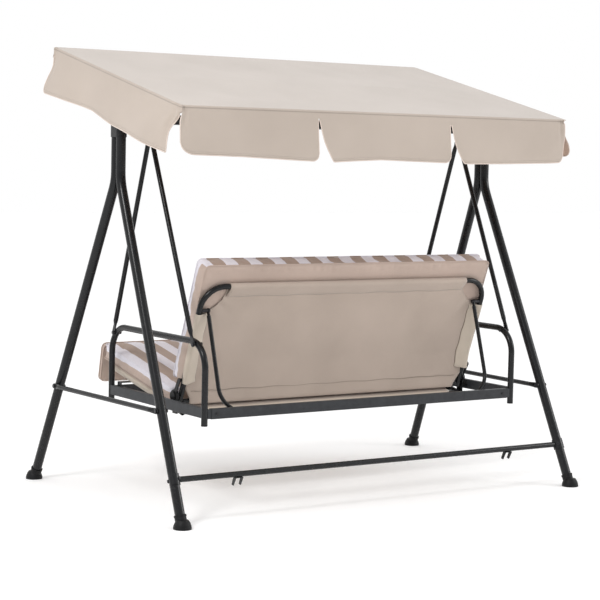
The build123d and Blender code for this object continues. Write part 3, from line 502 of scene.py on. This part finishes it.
def canopy_cover():
    near = EDGE_R
    stops_x = [-canopy_half + near, -canopy_half + near + 0.004]
    for x in SLITS_X:
        stops_x += [x - SLIT_HALF_WIDTH, x + SLIT_HALF_WIDTH]
    stops_x += [canopy_half - near - 0.004, canopy_half - near]
    stops_v = [near, near + 0.004, canopy_depth / 2, canopy_depth - near - 0.004, canopy_depth - near]
    xs = spaced_lines(stops_x, 0.0032, 0.014, 0.06)
    vs = spaced_lines(stops_v, 0.0032, 0.014, 0.06)
    nx, nv = len(xs), len(vs)
    points, uvs, edges = [], [], []

    def sag(x, v):
        across = math.sin(math.pi * min(1.0, abs(x) / (canopy_half - near)))
        bay = (v - near) / (canopy_depth / 2 - near)
        along = abs(math.sin(math.pi * bay))
        ripple = 0.0012 * math.sin(23 * x + 5 * v) * math.sin(9 * v + 2.0 * x)
        return -0.0014 - 0.0048 * across * along + ripple * across * along

    for x in xs:
        for v in vs:
            points.append(canopy_front + Vector((x, 0, 0)) + canopy_v * v + canopy_w * sag(x, v))
            uvs.append((x, v))
            edges.append((1.0, 1.0))
    for i, x_sign in ((0, 1), (nx - 1, -1)):
        for j, v_sign in ((0, 1), (nv - 1, -1)):
            points[i * nv + j] += Vector((x_sign * CORNER_PULL, 0, 0)) + canopy_v * v_sign * CORNER_PULL
    faces, face_materials, face_uv, face_edge = [], [], [], []
    for i in range(nx - 1):
        for j in range(nv - 1):
            quad = (i * nv + j, (i + 1) * nv + j, (i + 1) * nv + j + 1, i * nv + j + 1)
            faces.append(quad)
            face_materials.append(0)
            face_uv += [uvs[k] for k in quad]
            face_edge += [edges[k] for k in quad]

    # The perimeter, anticlockwise seen from above, starting at the rear of the left side.
    loop = [(i, nv - 1) for i in range(nx - 1, 0, -1)]
    loop += [(0, j) for j in range(nv - 1, 0, -1)]
    loop += [(i, 0) for i in range(0, nx - 1)]
    loop += [(nx - 1, j) for j in range(0, nv - 1)]
    count = len(loop)
    corners = {
        "rear_left": 0, "rear_right": nx - 1,
        "front_right": nx - 1 + nv - 1, "front_left": 2 * (nx - 1) + nv - 1,
    }
    place = [(xs[i], vs[j]) for i, j in loop]
    step = [math.dist(place[k], place[(k + 1) % count]) for k in range(count)]
    run = np.concatenate([[0.0], np.cumsum(step)])
    total, run = run[-1], run[:-1]

    def between(k, name_a, name_b):
        return corners[name_a] < k < (corners[name_b] or count)

    side_of = []
    for k in range(count):
        if k in corners.values():
            side_of.append("corner")
        elif between(k, "rear_left", "rear_right"):
            side_of.append("rear")
        elif between(k, "rear_right", "front_right"):
            side_of.append("right")
        elif between(k, "front_right", "front_left"):
            side_of.append("front")
        else:
            side_of.append("left")

    # Each slit: its edge columns, the depth where it opens, and each side's outline and corner radius.
    slit_list = []

    def column_at(side, x):
        return min((k for k in range(count) if side_of[k] == side), key=lambda k: abs(place[k][0] - x))

    for side in ("rear", "front"):
        first, second = (SMALL, SPREAD) if side == "rear" else (SPREAD, SMALL)
        for x in reversed(SLITS_X):
            a, b = sorted((column_at(side, x - SLIT_HALF_WIDTH), column_at(side, x + SLIT_HALF_WIDTH)))
            slit_list.append((a, b, 0.040, first, 0.030, second, 0.030))
    k = corners["rear_left"]
    slit_list.append(((k - 1) % count, k + 1, 0.040, HOOKED, 0.004, END_OUT, 0.042))
    k = corners["rear_right"]
    slit_list.append((k - 1, k + 1, 0.007, LEANING, 0.045, LOBED, 0.050))
    k = corners["front_right"]
    slit_list.append((k - 1, k + 1, 0.040, GENTLE, 0.045, SPREAD, 0.036))
    k = corners["front_left"]
    slit_list.append((k - 1, k + 1, 0.040, SPREAD, 0.036, GENTLE, 0.030))

    # Rows: a quarter round over the tube, then the hanging cloth.
    arc_rows, hang_rows = 5, 19
    columns = []
    def around(a, b):
        gap = abs(a - b) % total
        return min(gap, total - gap)

    column_sides = []
    for k in range(count):
        side = side_of[k]
        if side == "corner":
            before, after = side_of[k - 1], side_of[(k + 1) % count]
            out = (OUTWARD[before] + OUTWARD[after]).normalized()
            pout = (PLANE_OUT[before] + PLANE_OUT[after]).normalized()
            column_sides.append((before, out, pout))
        else:
            column_sides.append((side, OUTWARD[side], PLANE_OUT[side]))

    tangents = []
    for k in range(count):
        i, j = loop[k]
        side = side_of[k] if side_of[k] != "corner" else side_of[k - 1]
        tangents.append({
            "rear": Vector((-1, 0, 0)), "right": -canopy_v, "front": Vector((1, 0, 0)), "left": canopy_v,
        }[side])

    opened = {}
    for a, b, top, *_ in slit_list:
        middle_columns = []
        m = (a + 1) % count
        while m != b:
            middle_columns.append(m)
            m = (m + 1) % count
        opened[a] = (top, [a, *middle_columns])
    blocked = {}
    for a, (top, members) in opened.items():
        for m in members:
            blocked[m] = top

    grid = []
    for k in range(count):
        i, j = loop[k]
        side, out, pout = column_sides[k]
        base = points[i * nv + j]
        u = float(run[k])
        shrink = 0.0
        pulls = []
        for a, b, top, first, first_r, second, second_r in slit_list:
            for edge, rows, r, sign in ((a, first, first_r, -1), (b, second, second_r, 1)):
                away = around(u, float(run[edge]))
                ahead = (u - float(run[edge])) * sign
                if abs(ahead) > total / 2:
                    ahead = -math.copysign(total - abs(ahead), ahead)
                if ahead < -1e-9:
                    continue
                if away < r:
                    shrink = max(shrink, r - math.sqrt(max(0.0, r * r - (r - away) ** 2)))
                zone = 0.22 if rows is HOOKED else 0.13
                if away < zone:
                    pulls.append((rows, (1 - away / zone) ** 2, sign))
        length = HANG[side] + length_change(side, u, base.x, base.y) - shrink
        bend = math.pi / 2 - math.atan2(FLARE[side], HANG[side])
        corner_near = min(around(u, float(run[c])) for c in corners.values())
        column = [(base, 0.0, length)]
        depths = [EDGE_R * bend * r / arc_rows for r in range(1, arc_rows + 1)]
        start = depths[-1]
        depths += [start + (length - start) * r / hang_rows for r in range(1, hang_rows + 1)]
        for depth in depths:
            if depth <= start + 1e-9:
                point = round_edge(base, pout, depth / EDGE_R)
            else:
                point = round_edge(base, pout, bend)
                rest = depth - start
                point = point + out * (rest * math.cos(bend)) - Vector((0, 0, rest * math.sin(bend)))
            share = max(0.0, depth - 0.015) / 0.17
            point = point + out * (valance_wave(side, u) * share ** 1.3)
            if corner_near < 0.085:
                fade = smooth_step(1 - corner_near / 0.085) * math.exp(-((depth - 0.011) / 0.011) ** 2)
                point = point + out * (0.0042 * math.sin(2 * math.pi * u / 0.0138) * fade)
                fold = smooth_step(1 - corner_near / 0.085) * math.exp(-((depth - 0.05) / 0.035) ** 2)
                point = point + out * (0.0045 * math.sin(2 * math.pi * u / 0.033 + 1.0) * fold)
            if side in ("left", "right") and corner_near < 0.06:
                curl = smooth_step(1 - corner_near / 0.06) * math.exp(-((depth - 0.075) / 0.05) ** 2)
                point = point - out * (0.016 * curl)
            for rows, weight, sign in pulls:
                point = point + tangents[k] * (table(rows, depth) * weight * sign)
            # The seam at the top of the valance is a shallow valley under a welt.
            point = point + out * (-0.0016 * math.exp(-((depth - 0.012) / 0.003) ** 2)
                                   + 0.0010 * math.exp(-((depth - 0.006) / 0.0022) ** 2))
            column.append((point, depth, length))
        grid.append(column)

    rows_total = len(grid[0])
    index = []
    for k in range(count):
        i, j = loop[k]
        ids = [i * nv + j]
        for point, depth, length in grid[k][1:]:
            ids.append(len(points))
            points.append(point)
        index.append(ids)
    for k in range(count):
        m = (k + 1) % count
        top = blocked.get(k)
        for r in range(rows_total - 1):
            if top is not None and grid[k][r + 1][1] > top:
                continue
            quad = (index[k][r], index[k][r + 1], index[m][r + 1], index[m][r])
            faces.append(quad)
            face_materials.append(1)
            u0, u1 = float(run[k]), float(run[k]) + step[k]
            data = ((u0, grid[k][r]), (u0, grid[k][r + 1]), (u1, grid[m][r + 1]), (u1, grid[m][r]))
            face_uv += [(u, 2.0 + item[1]) for u, item in data]
            face_edge += [(item[1], item[2] - item[1]) for u, item in data]

    used = sorted({k for face in faces for k in face})
    renumber = {old: new for new, old in enumerate(used)}
    cover = mesh_object(
        "canopy_cover", [points[k] for k in used], [tuple(renumber[k] for k in f) for f in faces],
        [cover_top, cover_side_painted_shade, cover_inside_painted_light, cover_inside_painted_light], face_materials, face_uv,
    )
    layer = cover.data.uv_layers.new(name="edge")
    layer.data.foreach_set("uv", np.array(face_edge, np.float32).ravel())
    hem = cover.vertex_groups.new(name="hem")
    for k in range(count):
        for r in range(rows_total):
            if index[k][r] in renumber:
                from_hem = grid[k][r][2] - grid[k][r][1]
                hem.add([renumber[index[k][r]]], 1.0 if from_hem < 0.014 else 0.5, "REPLACE")
    for i in range(nx):
        for j in range(nv):
            if i * nv + j in renumber and not (i in (0, nx - 1) or j in (0, nv - 1)):
                hem.add([renumber[i * nv + j]], 0.5, "REPLACE")
    # The inner faces take the peach colour, painted light shining through the cloth.
    thick = solidify(cover, 0.0018, 0.0, 2)
    thick.vertex_group = "hem"

    # Binding: down one edge of each panel, along its hem and up the other edge.
    starts = sorted((b, a) for a, b, *_ in slit_list)
    ends = sorted(a for a, b, *_ in slit_list)
    outlines = []
    for b, _ in starts:
        later = [a for a in ends if (a - b) % count > 0]
        a = min(later, key=lambda e: (e - b) % count)
        outline = []
        top_b = next(s[2] for s in slit_list if s[1] == b)
        top_a = next(s[2] for s in slit_list if s[0] == a)
        outline += [p for p, depth, _ in grid[b] if depth >= top_b - 0.004][:-1]
        k = b
        while k != a:
            outline.append(grid[k][-1][0])
            k = (k + 1) % count
        outline += [p for p, depth, _ in reversed(grid[a]) if depth >= top_a - 0.004]
        outlines.append(outline)
    return cover, outlines


BINDING_R = 0.0021
cover, panel_outlines = canopy_cover()
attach(cover, "canopy")
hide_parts("canopy_top", "canopy_valance_front", "canopy_valance_rear", "canopy_valance_left",
            "canopy_valance_right")
for number, outline in enumerate(panel_outlines):
    binding = tube_mesh(f"canopy_binding_{number + 1}", outline, BINDING_R, binding_cloth, sides=6)
    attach(binding, "canopy")

# Slings: a panel between its tubes, a sleeve round each tube, and a sewn return at the back
SLING_CLOTH = 0.0014
SLING_R = 0.0122
RETURN = 0.048


def sling(name, start, end, half_x, corner, billow, low_edge=None):
    """start and end are the centres of the end tubes at x = 0. low_edge, if given, is the half width at the
    start tube and how far up it narrows. There the cloth runs behind the start tube, clear of the hinges."""
    along = (end - start).normalized()
    length = (end - start).length
    facing = Vector((1, 0, 0)).cross(along) * -1
    if facing.z < 0:
        facing = -facing
    x_axis = Vector((1, 0, 0))
    phis = np.linspace(0, math.pi / 2, 15)
    left = [(half_x - corner * math.cos(p), corner * math.sin(p)) for p in phis]
    middle_xs = np.linspace(-(half_x - corner), half_x - corner, 71)[1:-1]
    columns = [(-x, r) for x, r in reversed(left)] + [(float(x), 0.0) for x in middle_xs] + left
    rows = 49
    points, uvs, faces, tags, face_uv = [], [], [], [], []

    def lift(x, a):
        edge = smooth_step(min(half_x - abs(x), a, length - a) / 0.10)
        soft = math.sin(math.pi * (x + half_x) / (2 * half_x)) * math.sin(math.pi * a / length)
        drift = 0.0016 * math.sin(5.3 * x + 1.1) * math.sin(7.9 * a + 0.6) + 0.0009 * math.sin(13 * x - 9 * a)
        return -(billow * soft + drift + 0.0012) * edge

    def pucker(x, a):
        """Short folds that run in from each cut corner."""
        depth = 0.0
        for cx in (-half_x, half_x):
            for ca in (0.0, length):
                dx, da = x - cx, a - ca
                far = math.hypot(dx, da) - corner
                if far < 0.16:
                    turn = math.atan2(abs(da), abs(dx))
                    fold = math.sin(17 * turn + 3 * cx) + 0.6 * math.sin(29 * turn + cx)
                    depth += 0.0026 * fold * math.exp(-max(far, 0) / 0.045) * math.sin(2 * turn)
        return depth

    def narrowed(x, a):
        if low_edge is None:
            return x
        half_low, rise = low_edge
        share = half_low + (half_x - half_low) * smooth_step(a / rise)
        return x * min(1.0, share / half_x)

    def behind(a):
        """1 where the cloth has crossed to the far side of the start tube."""
        return 0.0 if low_edge is None else float(smooth_step(1 - a / 0.17))

    for x, cut in columns:
        for r in range(rows):
            t = r / (rows - 1)
            low_cut = cut if low_edge is None else 0.0
            a = low_cut + (length - low_cut - cut) * t
            w = SLING_R * (1 - 2 * behind(a)) + lift(x, a) + pucker(x, a) * (1 - behind(a))
            points.append(start + x_axis * narrowed(x, a) + along * a + facing * w)
            uvs.append((x, a))
    n_columns = len(columns)

    def quad(ids, corner_uv, tag):
        faces.append(ids)
        tags.append(tag)
        face_uv.extend(corner_uv)

    for i in range(n_columns - 1):
        for r in range(rows - 1):
            ids = (i * rows + r, (i + 1) * rows + r, (i + 1) * rows + r + 1, i * rows + r + 1)
            quad(ids, [uvs[k] for k in ids], 0)

    # The round of a sleeve in the plane across its tube: outwards, then facing.
    line_reach = math.hypot(RETURN, SLING_R - 0.0022)
    tilt_in = math.atan2(SLING_R - 0.0022, RETURN)
    touch = tilt_in - math.acos(SLING_R / line_reach)
    arc = [math.pi / 2 + (2 * math.pi + touch - math.pi / 2) * k / 14 for k in range(1, 15)]
    profile = [(-SLING_R * math.cos(g), SLING_R * math.sin(g)) for g in arc]
    last = profile[-1]
    target = (-RETURN, SLING_R - 0.0022)
    profile += [
        (last[0] + (target[0] - last[0]) * k / 6, last[1] + (target[1] - last[1]) * k / 6)
        for k in range(1, 7)
    ]
    profile_run = []
    at = (0.0, SLING_R)
    run = 0.0
    for p in profile:
        run += math.dist(at, p)
        at = p
        profile_run.append(run)

    def sleeve(edge_ids, outward, side=1, tag=1):
        """Wraps the panel's edge round its tube and back. side is -1 where the panel lies behind its tube.
        tag 1 gives the sleeve the lighter cloth, painted light; tag 0 gives it the panel's cloth.
        """
        previous = edge_ids
        centres = [points[k] - facing * (SLING_R * side) for k in edge_ids]
        for (out, front), gone in zip(profile, profile_run):
            ids = []
            for n, k in enumerate(edge_ids):
                wander = 0.0012 * math.sin(n * 0.55) * smooth_step((gone - 0.045) / 0.03)
                ids.append(len(points))
                points.append(centres[n] + outward * (out + 1.5 * wander) + facing * (front * side))
                uvs.append((uvs[k][0] + outward.dot(x_axis) * gone, uvs[k][1] + outward.dot(along) * gone))
            for n in range(len(ids) - 1):
                loop_ids = (previous[n], previous[n + 1], ids[n + 1], ids[n])
                quad(loop_ids, [uvs[m] for m in loop_ids], tag)
            previous = ids
        return previous

    edges = []
    for i, outward in ((0, -x_axis), (n_columns - 1, x_axis)):
        ids = [i * rows + r for r in range(rows)]
        if low_edge is not None:
            ids = [k for k in ids if uvs[k][1] > low_edge[1]]
        edges.append(sleeve(ids, outward))
    flat_columns = [i for i, (x, cut) in enumerate(columns) if cut < 1e-9]
    edges.append(sleeve([i * rows + rows - 1 for i in flat_columns], along, tag=0))
    if low_edge is None:
        edges.append(sleeve([i * rows for i in flat_columns], -along))
    else:
        edges.append(sleeve([i * rows for i in range(n_columns)], -along, -1, 0))
    # The second material is the sleeves' lighter cloth, painted light.
    made = mesh_object(name, points, faces, [sling_cloth, sling_sleeve_painted_light], tags, face_uv)
    area = sum(p.area for p in made.data.polygons)
    face_outwards(made)
    solidify(made, SLING_CLOTH)
    # The sewn line of each return, as raised thread. The first, on the far sleeve at -x, is dark: a stitch
    # darkened as painted shade of the gap along that edge.
    threads = []
    for number, ids in enumerate(edges):
        seam = [points[k] for k in ids]
        keep = [seam[0]]
        for p in seam[1:]:
            if (p - keep[-1]).length > 0.012:
                keep.append(p)
        paint = thread_dark_painted_shade if number == 0 else thread_pale
        threads.append(tube_mesh(f"{name}_seam_{number + 1}", keep, 0.0010, paint, sides=6))
    return made, threads, area


def finish_sling(made, threads, area, body, node, width, length, rests_on):
    for piece in (made, *threads):
        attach(piece, body)
    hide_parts(node)


back_low = middle("back_bottom_tube")
loop_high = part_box("back_loop")[1]
back_high = Vector((0, loop_high.y - TUBE_R, loop_high.z - TUBE_R))
back_low.x = 0
loop_half = loop_high.x - TUBE_R
seat_rear = middle("seat_rear_tube")
seat_rear.x = 0
seat_loop_low, seat_loop_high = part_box("seat_loop")
seat_front = Vector((0, seat_loop_low.y + TUBE_R, seat_loop_high.z - TUBE_R))
# The cloth that goes round a tube and back to its seam.
sleeve_round = 0.085
back_made = sling("back_sling_cloth", back_low, back_high, loop_half, corner=0.112, billow=0.004,
                  low_edge=(0.648, 0.086))
finish_sling(*back_made, "backrest", "back_sling", 2 * (loop_half + sleeve_round),
             (back_high - back_low).length + 2 * sleeve_round, ["back_loop", "back_bottom_tube"])
seat_made = sling("seat_sling_cloth", seat_rear, seat_front, loop_half, corner=0.062, billow=0.006)
finish_sling(*seat_made, "swing", "seat_sling", 2 * (loop_half + sleeve_round),
             (seat_front - seat_rear).length + 2 * sleeve_round, ["seat_loop", "seat_rear_tube"])

# Cushions
STRIPE = 0.0555
CUSHION_STEP, CUSHION_CORNER, CROWN_REACH = 0.0105, 0.020, 0.12
PRESSURE, SEAM_SHRINK, CLOTH_FRAMES = 3.0, -0.03, 20
WELT_R = 0.0022


def striped(name, half):
    return fabric(name, (0.8, 0.8, 0.8), (0.8, 0.8, 0.8), coordinates="object", pitch=0.0011,
                  stripes=(half, STRIPE * 0.75, STRIPE, stripe_white, stripe_taupe), crease=0.0010, sheen=0.2)


def cushion(name, origin, along, facing, half_x, low, high, base, thick, stripes, stripe_edge, far_edge,
            crown, cap, plain=plain_cloth):
    """A boxed cushion with its face panels, a side band and welted seams.
    low and high run along, and base is the height of its underside. stripe_edge is how far the stripes wrap
    round, and far_edge the same at the high end. cap is the most that inflating may move the cloth."""
    x_axis = Vector((1, 0, 0))
    nx = max(8, int(round(2 * half_x / CUSHION_STEP)))
    na = max(4, int(round((high - low) / CUSHION_STEP)))
    nt = max(3, int(round(thick / CUSHION_STEP)))
    corner = CUSHION_CORNER
    points, faces, tags = [], [], []
    index = {}

    def rounded(x, a):
        """Moves a point of the box outline onto rounded corners."""
        cx, ca = max(0.0, abs(x) - (half_x - corner)), 0.0
        mid = (low + high) / 2
        half_a = (high - low) / 2
        ca = max(0.0, abs(a - mid) - (half_a - corner))
        if cx > 0 and ca > 0:
            reach = max(cx, ca)
            span = math.hypot(cx, ca)
            x = math.copysign(half_x - corner + cx * reach / span, x)
            a = mid + math.copysign(half_a - corner + ca * reach / span, a - mid)
        return x, a

    def vertex(i, j, k):
        key = (i, j, k)
        if key in index:
            return index[key]
        x = -half_x + 2 * half_x * i / nx
        a = low + (high - low) * j / na
        t = k / nt
        x, a = rounded(x, a)
        inset = 0.0
        if 0 < k < nt:
            inset = 0.0035 * math.sin(math.pi * t)
        mid = (low + high) / 2
        x -= math.copysign(min(inset, abs(x)), x) if i in (0, nx) else 0
        a -= math.copysign(inset, a - mid) if j in (0, na) else 0
        u = 1 - abs(x) / half_x
        v = 1 - abs(a - mid) / ((high - low) / 2)
        rise = min(1.0, (max(u, 0) * half_x / CROWN_REACH)) ** 0.5
        rise *= min(1.0, max(v, 0) * (high - low) / 2 / CROWN_REACH) ** 0.5
        depth = base + thick * t
        if k == nt:
            depth += crown * rise
        if k == 0:
            depth += 0.0005
        index[key] = len(points)
        points.append(origin + x_axis * x + along * a + facing * depth)
        return index[key]

    def face(ids, tag):
        faces.append(ids)
        tags.append(tag)

    for i in range(nx):
        for j in range(na):
            face((vertex(i, j, nt), vertex(i + 1, j, nt), vertex(i + 1, j + 1, nt), vertex(i, j + 1, nt)), 1)
            face((vertex(i, j, 0), vertex(i, j + 1, 0), vertex(i + 1, j + 1, 0), vertex(i + 1, j, 0)), 0)
    for k in range(nt):
        wrap = 1 if (nt - k - 0.5) * thick / nt < stripe_edge else 0
        end_wrap = 1 if (nt - k - 0.5) * thick / nt < stripe_edge * 0.55 else 0
        far_wrap = 1 if (nt - k - 0.5) * thick / nt < far_edge else 0
        for i in range(nx):
            face((vertex(i, 0, k), vertex(i + 1, 0, k), vertex(i + 1, 0, k + 1), vertex(i, 0, k + 1)), wrap)
            face((vertex(i, na, k), vertex(i, na, k + 1), vertex(i + 1, na, k + 1), vertex(i + 1, na, k)),
                 far_wrap)
        for j in range(na):
            face((vertex(0, j, k), vertex(0, j, k + 1), vertex(0, j + 1, k + 1), vertex(0, j + 1, k)),
                 end_wrap)
            face((vertex(nx, j, k), vertex(nx, j + 1, k), vertex(nx, j + 1, k + 1), vertex(nx, j, k + 1)),
                 end_wrap)
    made = mesh_object(name, points, faces, [plain, stripes], tags)
    face_outwards(made)

    # The seams run round the edge of the front face and round the edge of the rear face.
    seam_k = {nt, 0}
    seam_ids = [v for (i, j, k), v in index.items() if (i in (0, nx) or j in (0, na)) and k in seam_k]
    rest_ids = [v for (i, j, k), v in index.items() if k == 0 and 2 < i < nx - 2 and 2 < j < na - 2]
    near_seam = [
        v for (i, j, k), v in index.items() if (i in (1, nx - 1) or j in (1, na - 1)) and k in seam_k
    ]
    start_at = np.array([tuple(v.co) for v in made.data.vertices])
    hold = made.vertex_groups.new(name="hold")
    hold.add(rest_ids, 1.0, "REPLACE")
    hold.add(seam_ids, 0.8, "REPLACE")
    hold.add(near_seam, 0.25, "REPLACE")
    tight = made.vertex_groups.new(name="tight")
    tight.add(seam_ids, 1.0, "REPLACE")
    cloth = made.modifiers.new("cloth", "CLOTH")
    settings = cloth.settings
    settings.quality = 6
    settings.mass = 0.25
    settings.tension_stiffness = settings.compression_stiffness = 18
    settings.shear_stiffness = 8
    settings.bending_stiffness = 0.25
    settings.use_pressure = True
    settings.uniform_pressure_force = PRESSURE
    settings.effector_weights.gravity = 0
    settings.vertex_group_mass = "hold"
    settings.vertex_group_shrink = "tight"
    settings.shrink_min = SEAM_SHRINK
    settings.shrink_max = 0.0
    cloth.point_cache.frame_start, cloth.point_cache.frame_end = 1, CLOTH_FRAMES
    for frame_number in range(1, CLOTH_FRAMES + 1):
        scene.frame_set(frame_number)
    apply_modifiers(made)
    scene.frame_set(1)
    now = np.array([tuple(v.co) for v in made.data.vertices])
    move = now - start_at
    far = np.linalg.norm(move, axis=1, keepdims=True)
    scale = cap * np.tanh(far / cap) / np.maximum(far, 1e-9)
    now = start_at + move * scale
    made.data.vertices.foreach_set("co", now.astype(np.float32).ravel())
    made.data.update()
    rings = []
    for k in (nt, 0):
        ring = [index[(i, 0, k)] for i in range(nx)] + [index[(nx, j, k)] for j in range(na)]
        ring += [index[(i, na, k)] for i in range(nx, 0, -1)] + [index[(0, j, k)] for j in range(na, 0, -1)]
        path = [made.data.vertices[v].co.copy() for v in ring]
        rings.append(path)
    extra = made.modifiers.new("smooth", "SUBSURF")
    extra.levels = extra.render_levels = 1
    apply_modifiers(made)
    return made, rings


def finish_cushion(made, rings, body, nodes_replaced, welt_cloth):
    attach(made, body)
    if nodes_replaced:
        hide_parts(*nodes_replaced)
    for number, path in enumerate(rings):
        welt_name = f"{made.name}_welt_{number + 1}"
        welt = tube_mesh(welt_name, path, WELT_R, welt_cloth[number], closed=True, sides=6)
        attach(welt, body)


back_along = (back_high - back_low).normalized()
back_facing = Vector((0, -back_along.z, back_along.y))
seat_along = (seat_front - seat_rear).normalized()
seat_facing = Vector((0, seat_along.z, -seat_along.y))
back_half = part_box("back_cushion")[1].x
seat_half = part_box("seat_cushion")[1].x
back_stripes = striped("back_stripes", back_half)
seat_stripes = striped("seat_stripes", seat_half)
CUSHION_INSET = 0.006
BACK_BASE, BACK_THICK = 0.0152, 0.066
SEAT_BASE, SEAT_THICK = 0.0147, 0.056
made, rings = cushion(
    "back_cushion_pad", back_low, back_along, back_facing, back_half - CUSHION_INSET, low=0.066, high=0.572,
    base=BACK_BASE, thick=BACK_THICK, stripes=back_stripes, stripe_edge=0.034, far_edge=BACK_THICK,
    crown=0.006, cap=0.010,
)
finish_cushion(made, rings, "backrest", ["back_cushion"], (back_stripes, plain_cloth))
made, rings = cushion(
    "seat_cushion_pad", seat_rear, seat_along, seat_facing, seat_half - CUSHION_INSET, low=0.080, high=0.668,
    base=SEAT_BASE, thick=SEAT_THICK, stripes=seat_stripes, stripe_edge=0.040, far_edge=0.040,
    crown=0.003, cap=0.014,
)
finish_cushion(made, rings, "swing", ["seat_cushion"], (seat_stripes, plain_cloth))
# The flap hangs in front of the seat's front tube, from just below the cushion's top.
flap_origin = seat_rear + seat_along * 0.6955 + seat_facing * (SEAT_BASE + SEAT_THICK - 0.002)
made, rings = cushion(
    "seat_cushion_flap", flap_origin, -seat_facing, seat_along, seat_half - CUSHION_INSET, low=0.0,
    high=0.162, base=-0.024, thick=0.018, stripes=seat_stripes, stripe_edge=0.0, far_edge=0.0,
    crown=0.002, cap=0.006,
)
finish_cushion(made, rings, "swing", [], (plain_cloth, plain_cloth))

# Floor, light and background
floor_material = Shader("studio_floor", 0.9, specular=0.05)
floor_clouds = floor_material.noise(0.8, 2.0)
floor_shade = floor_material.ramp(floor_clouds, [(0.3, (0.93, 0.93, 0.93)), (0.7, (0.95, 0.95, 0.95))])
floor_material.shader.inputs["Emission Color"].default_value = (1, 1, 1, 1)
floor_material.shader.inputs["Emission Strength"].default_value = 0.14
floor_material.finish(floor_shade)
floor = mesh_object("floor", [(-30, -30, 0), (30, -30, 0), (30, 30, 0), (-30, 30, 0)], [(0, 1, 2, 3)],
                    [floor_material.material], smooth=False)
world = bpy.data.worlds.new("studio")
scene.world = world
world.use_nodes = True
# White all round, a little darker on the photographer's side, so that dark tubes keep dark fronts.
sky = world.node_tree
turn = sky.nodes.new("ShaderNodeVectorMath")
turn.operation = "DOT_PRODUCT"
turn.inputs[1].default_value = (0.5, 0.8, 0.1)
sky.links.new(sky.nodes.new("ShaderNodeTexCoord").outputs["Generated"], turn.inputs[0])
shade = sky.nodes.new("ShaderNodeValToRGB")
shade.color_ramp.elements[0].position, shade.color_ramp.elements[0].color = 0.35, (1, 1, 1, 1)
shade.color_ramp.elements[1].position, shade.color_ramp.elements[1].color = 0.9, (0.55, 0.55, 0.56, 1)
sky.links.new(turn.outputs["Value"], shade.inputs["Fac"])
sky.links.new(shade.outputs["Color"], sky.nodes["Background"].inputs["Color"])
sky.nodes["Background"].inputs["Strength"].default_value = 1.0
scene.view_settings.view_transform = "Standard"


def area_light(name, place, aim, size, power, colour=(1, 1, 1)):
    data = bpy.data.lights.new(name, "AREA")
    data.shape, data.size, data.energy, data.color = "DISK", size, power, colour
    lamp = bpy.data.objects.new(name, data)
    scene.collection.objects.link(lamp)
    lamp.location = place
    lamp.rotation_euler = (Vector(aim) - Vector(place)).to_track_quat("-Z", "Y").to_euler()


area_light("key", (5.0, 2.2, 5.0), (0, 0, 0.9), 1.6, 150)
area_light("rim", (-4.5, 3.0, 2.5), (0, 0, 0.8), 1.8, 60)
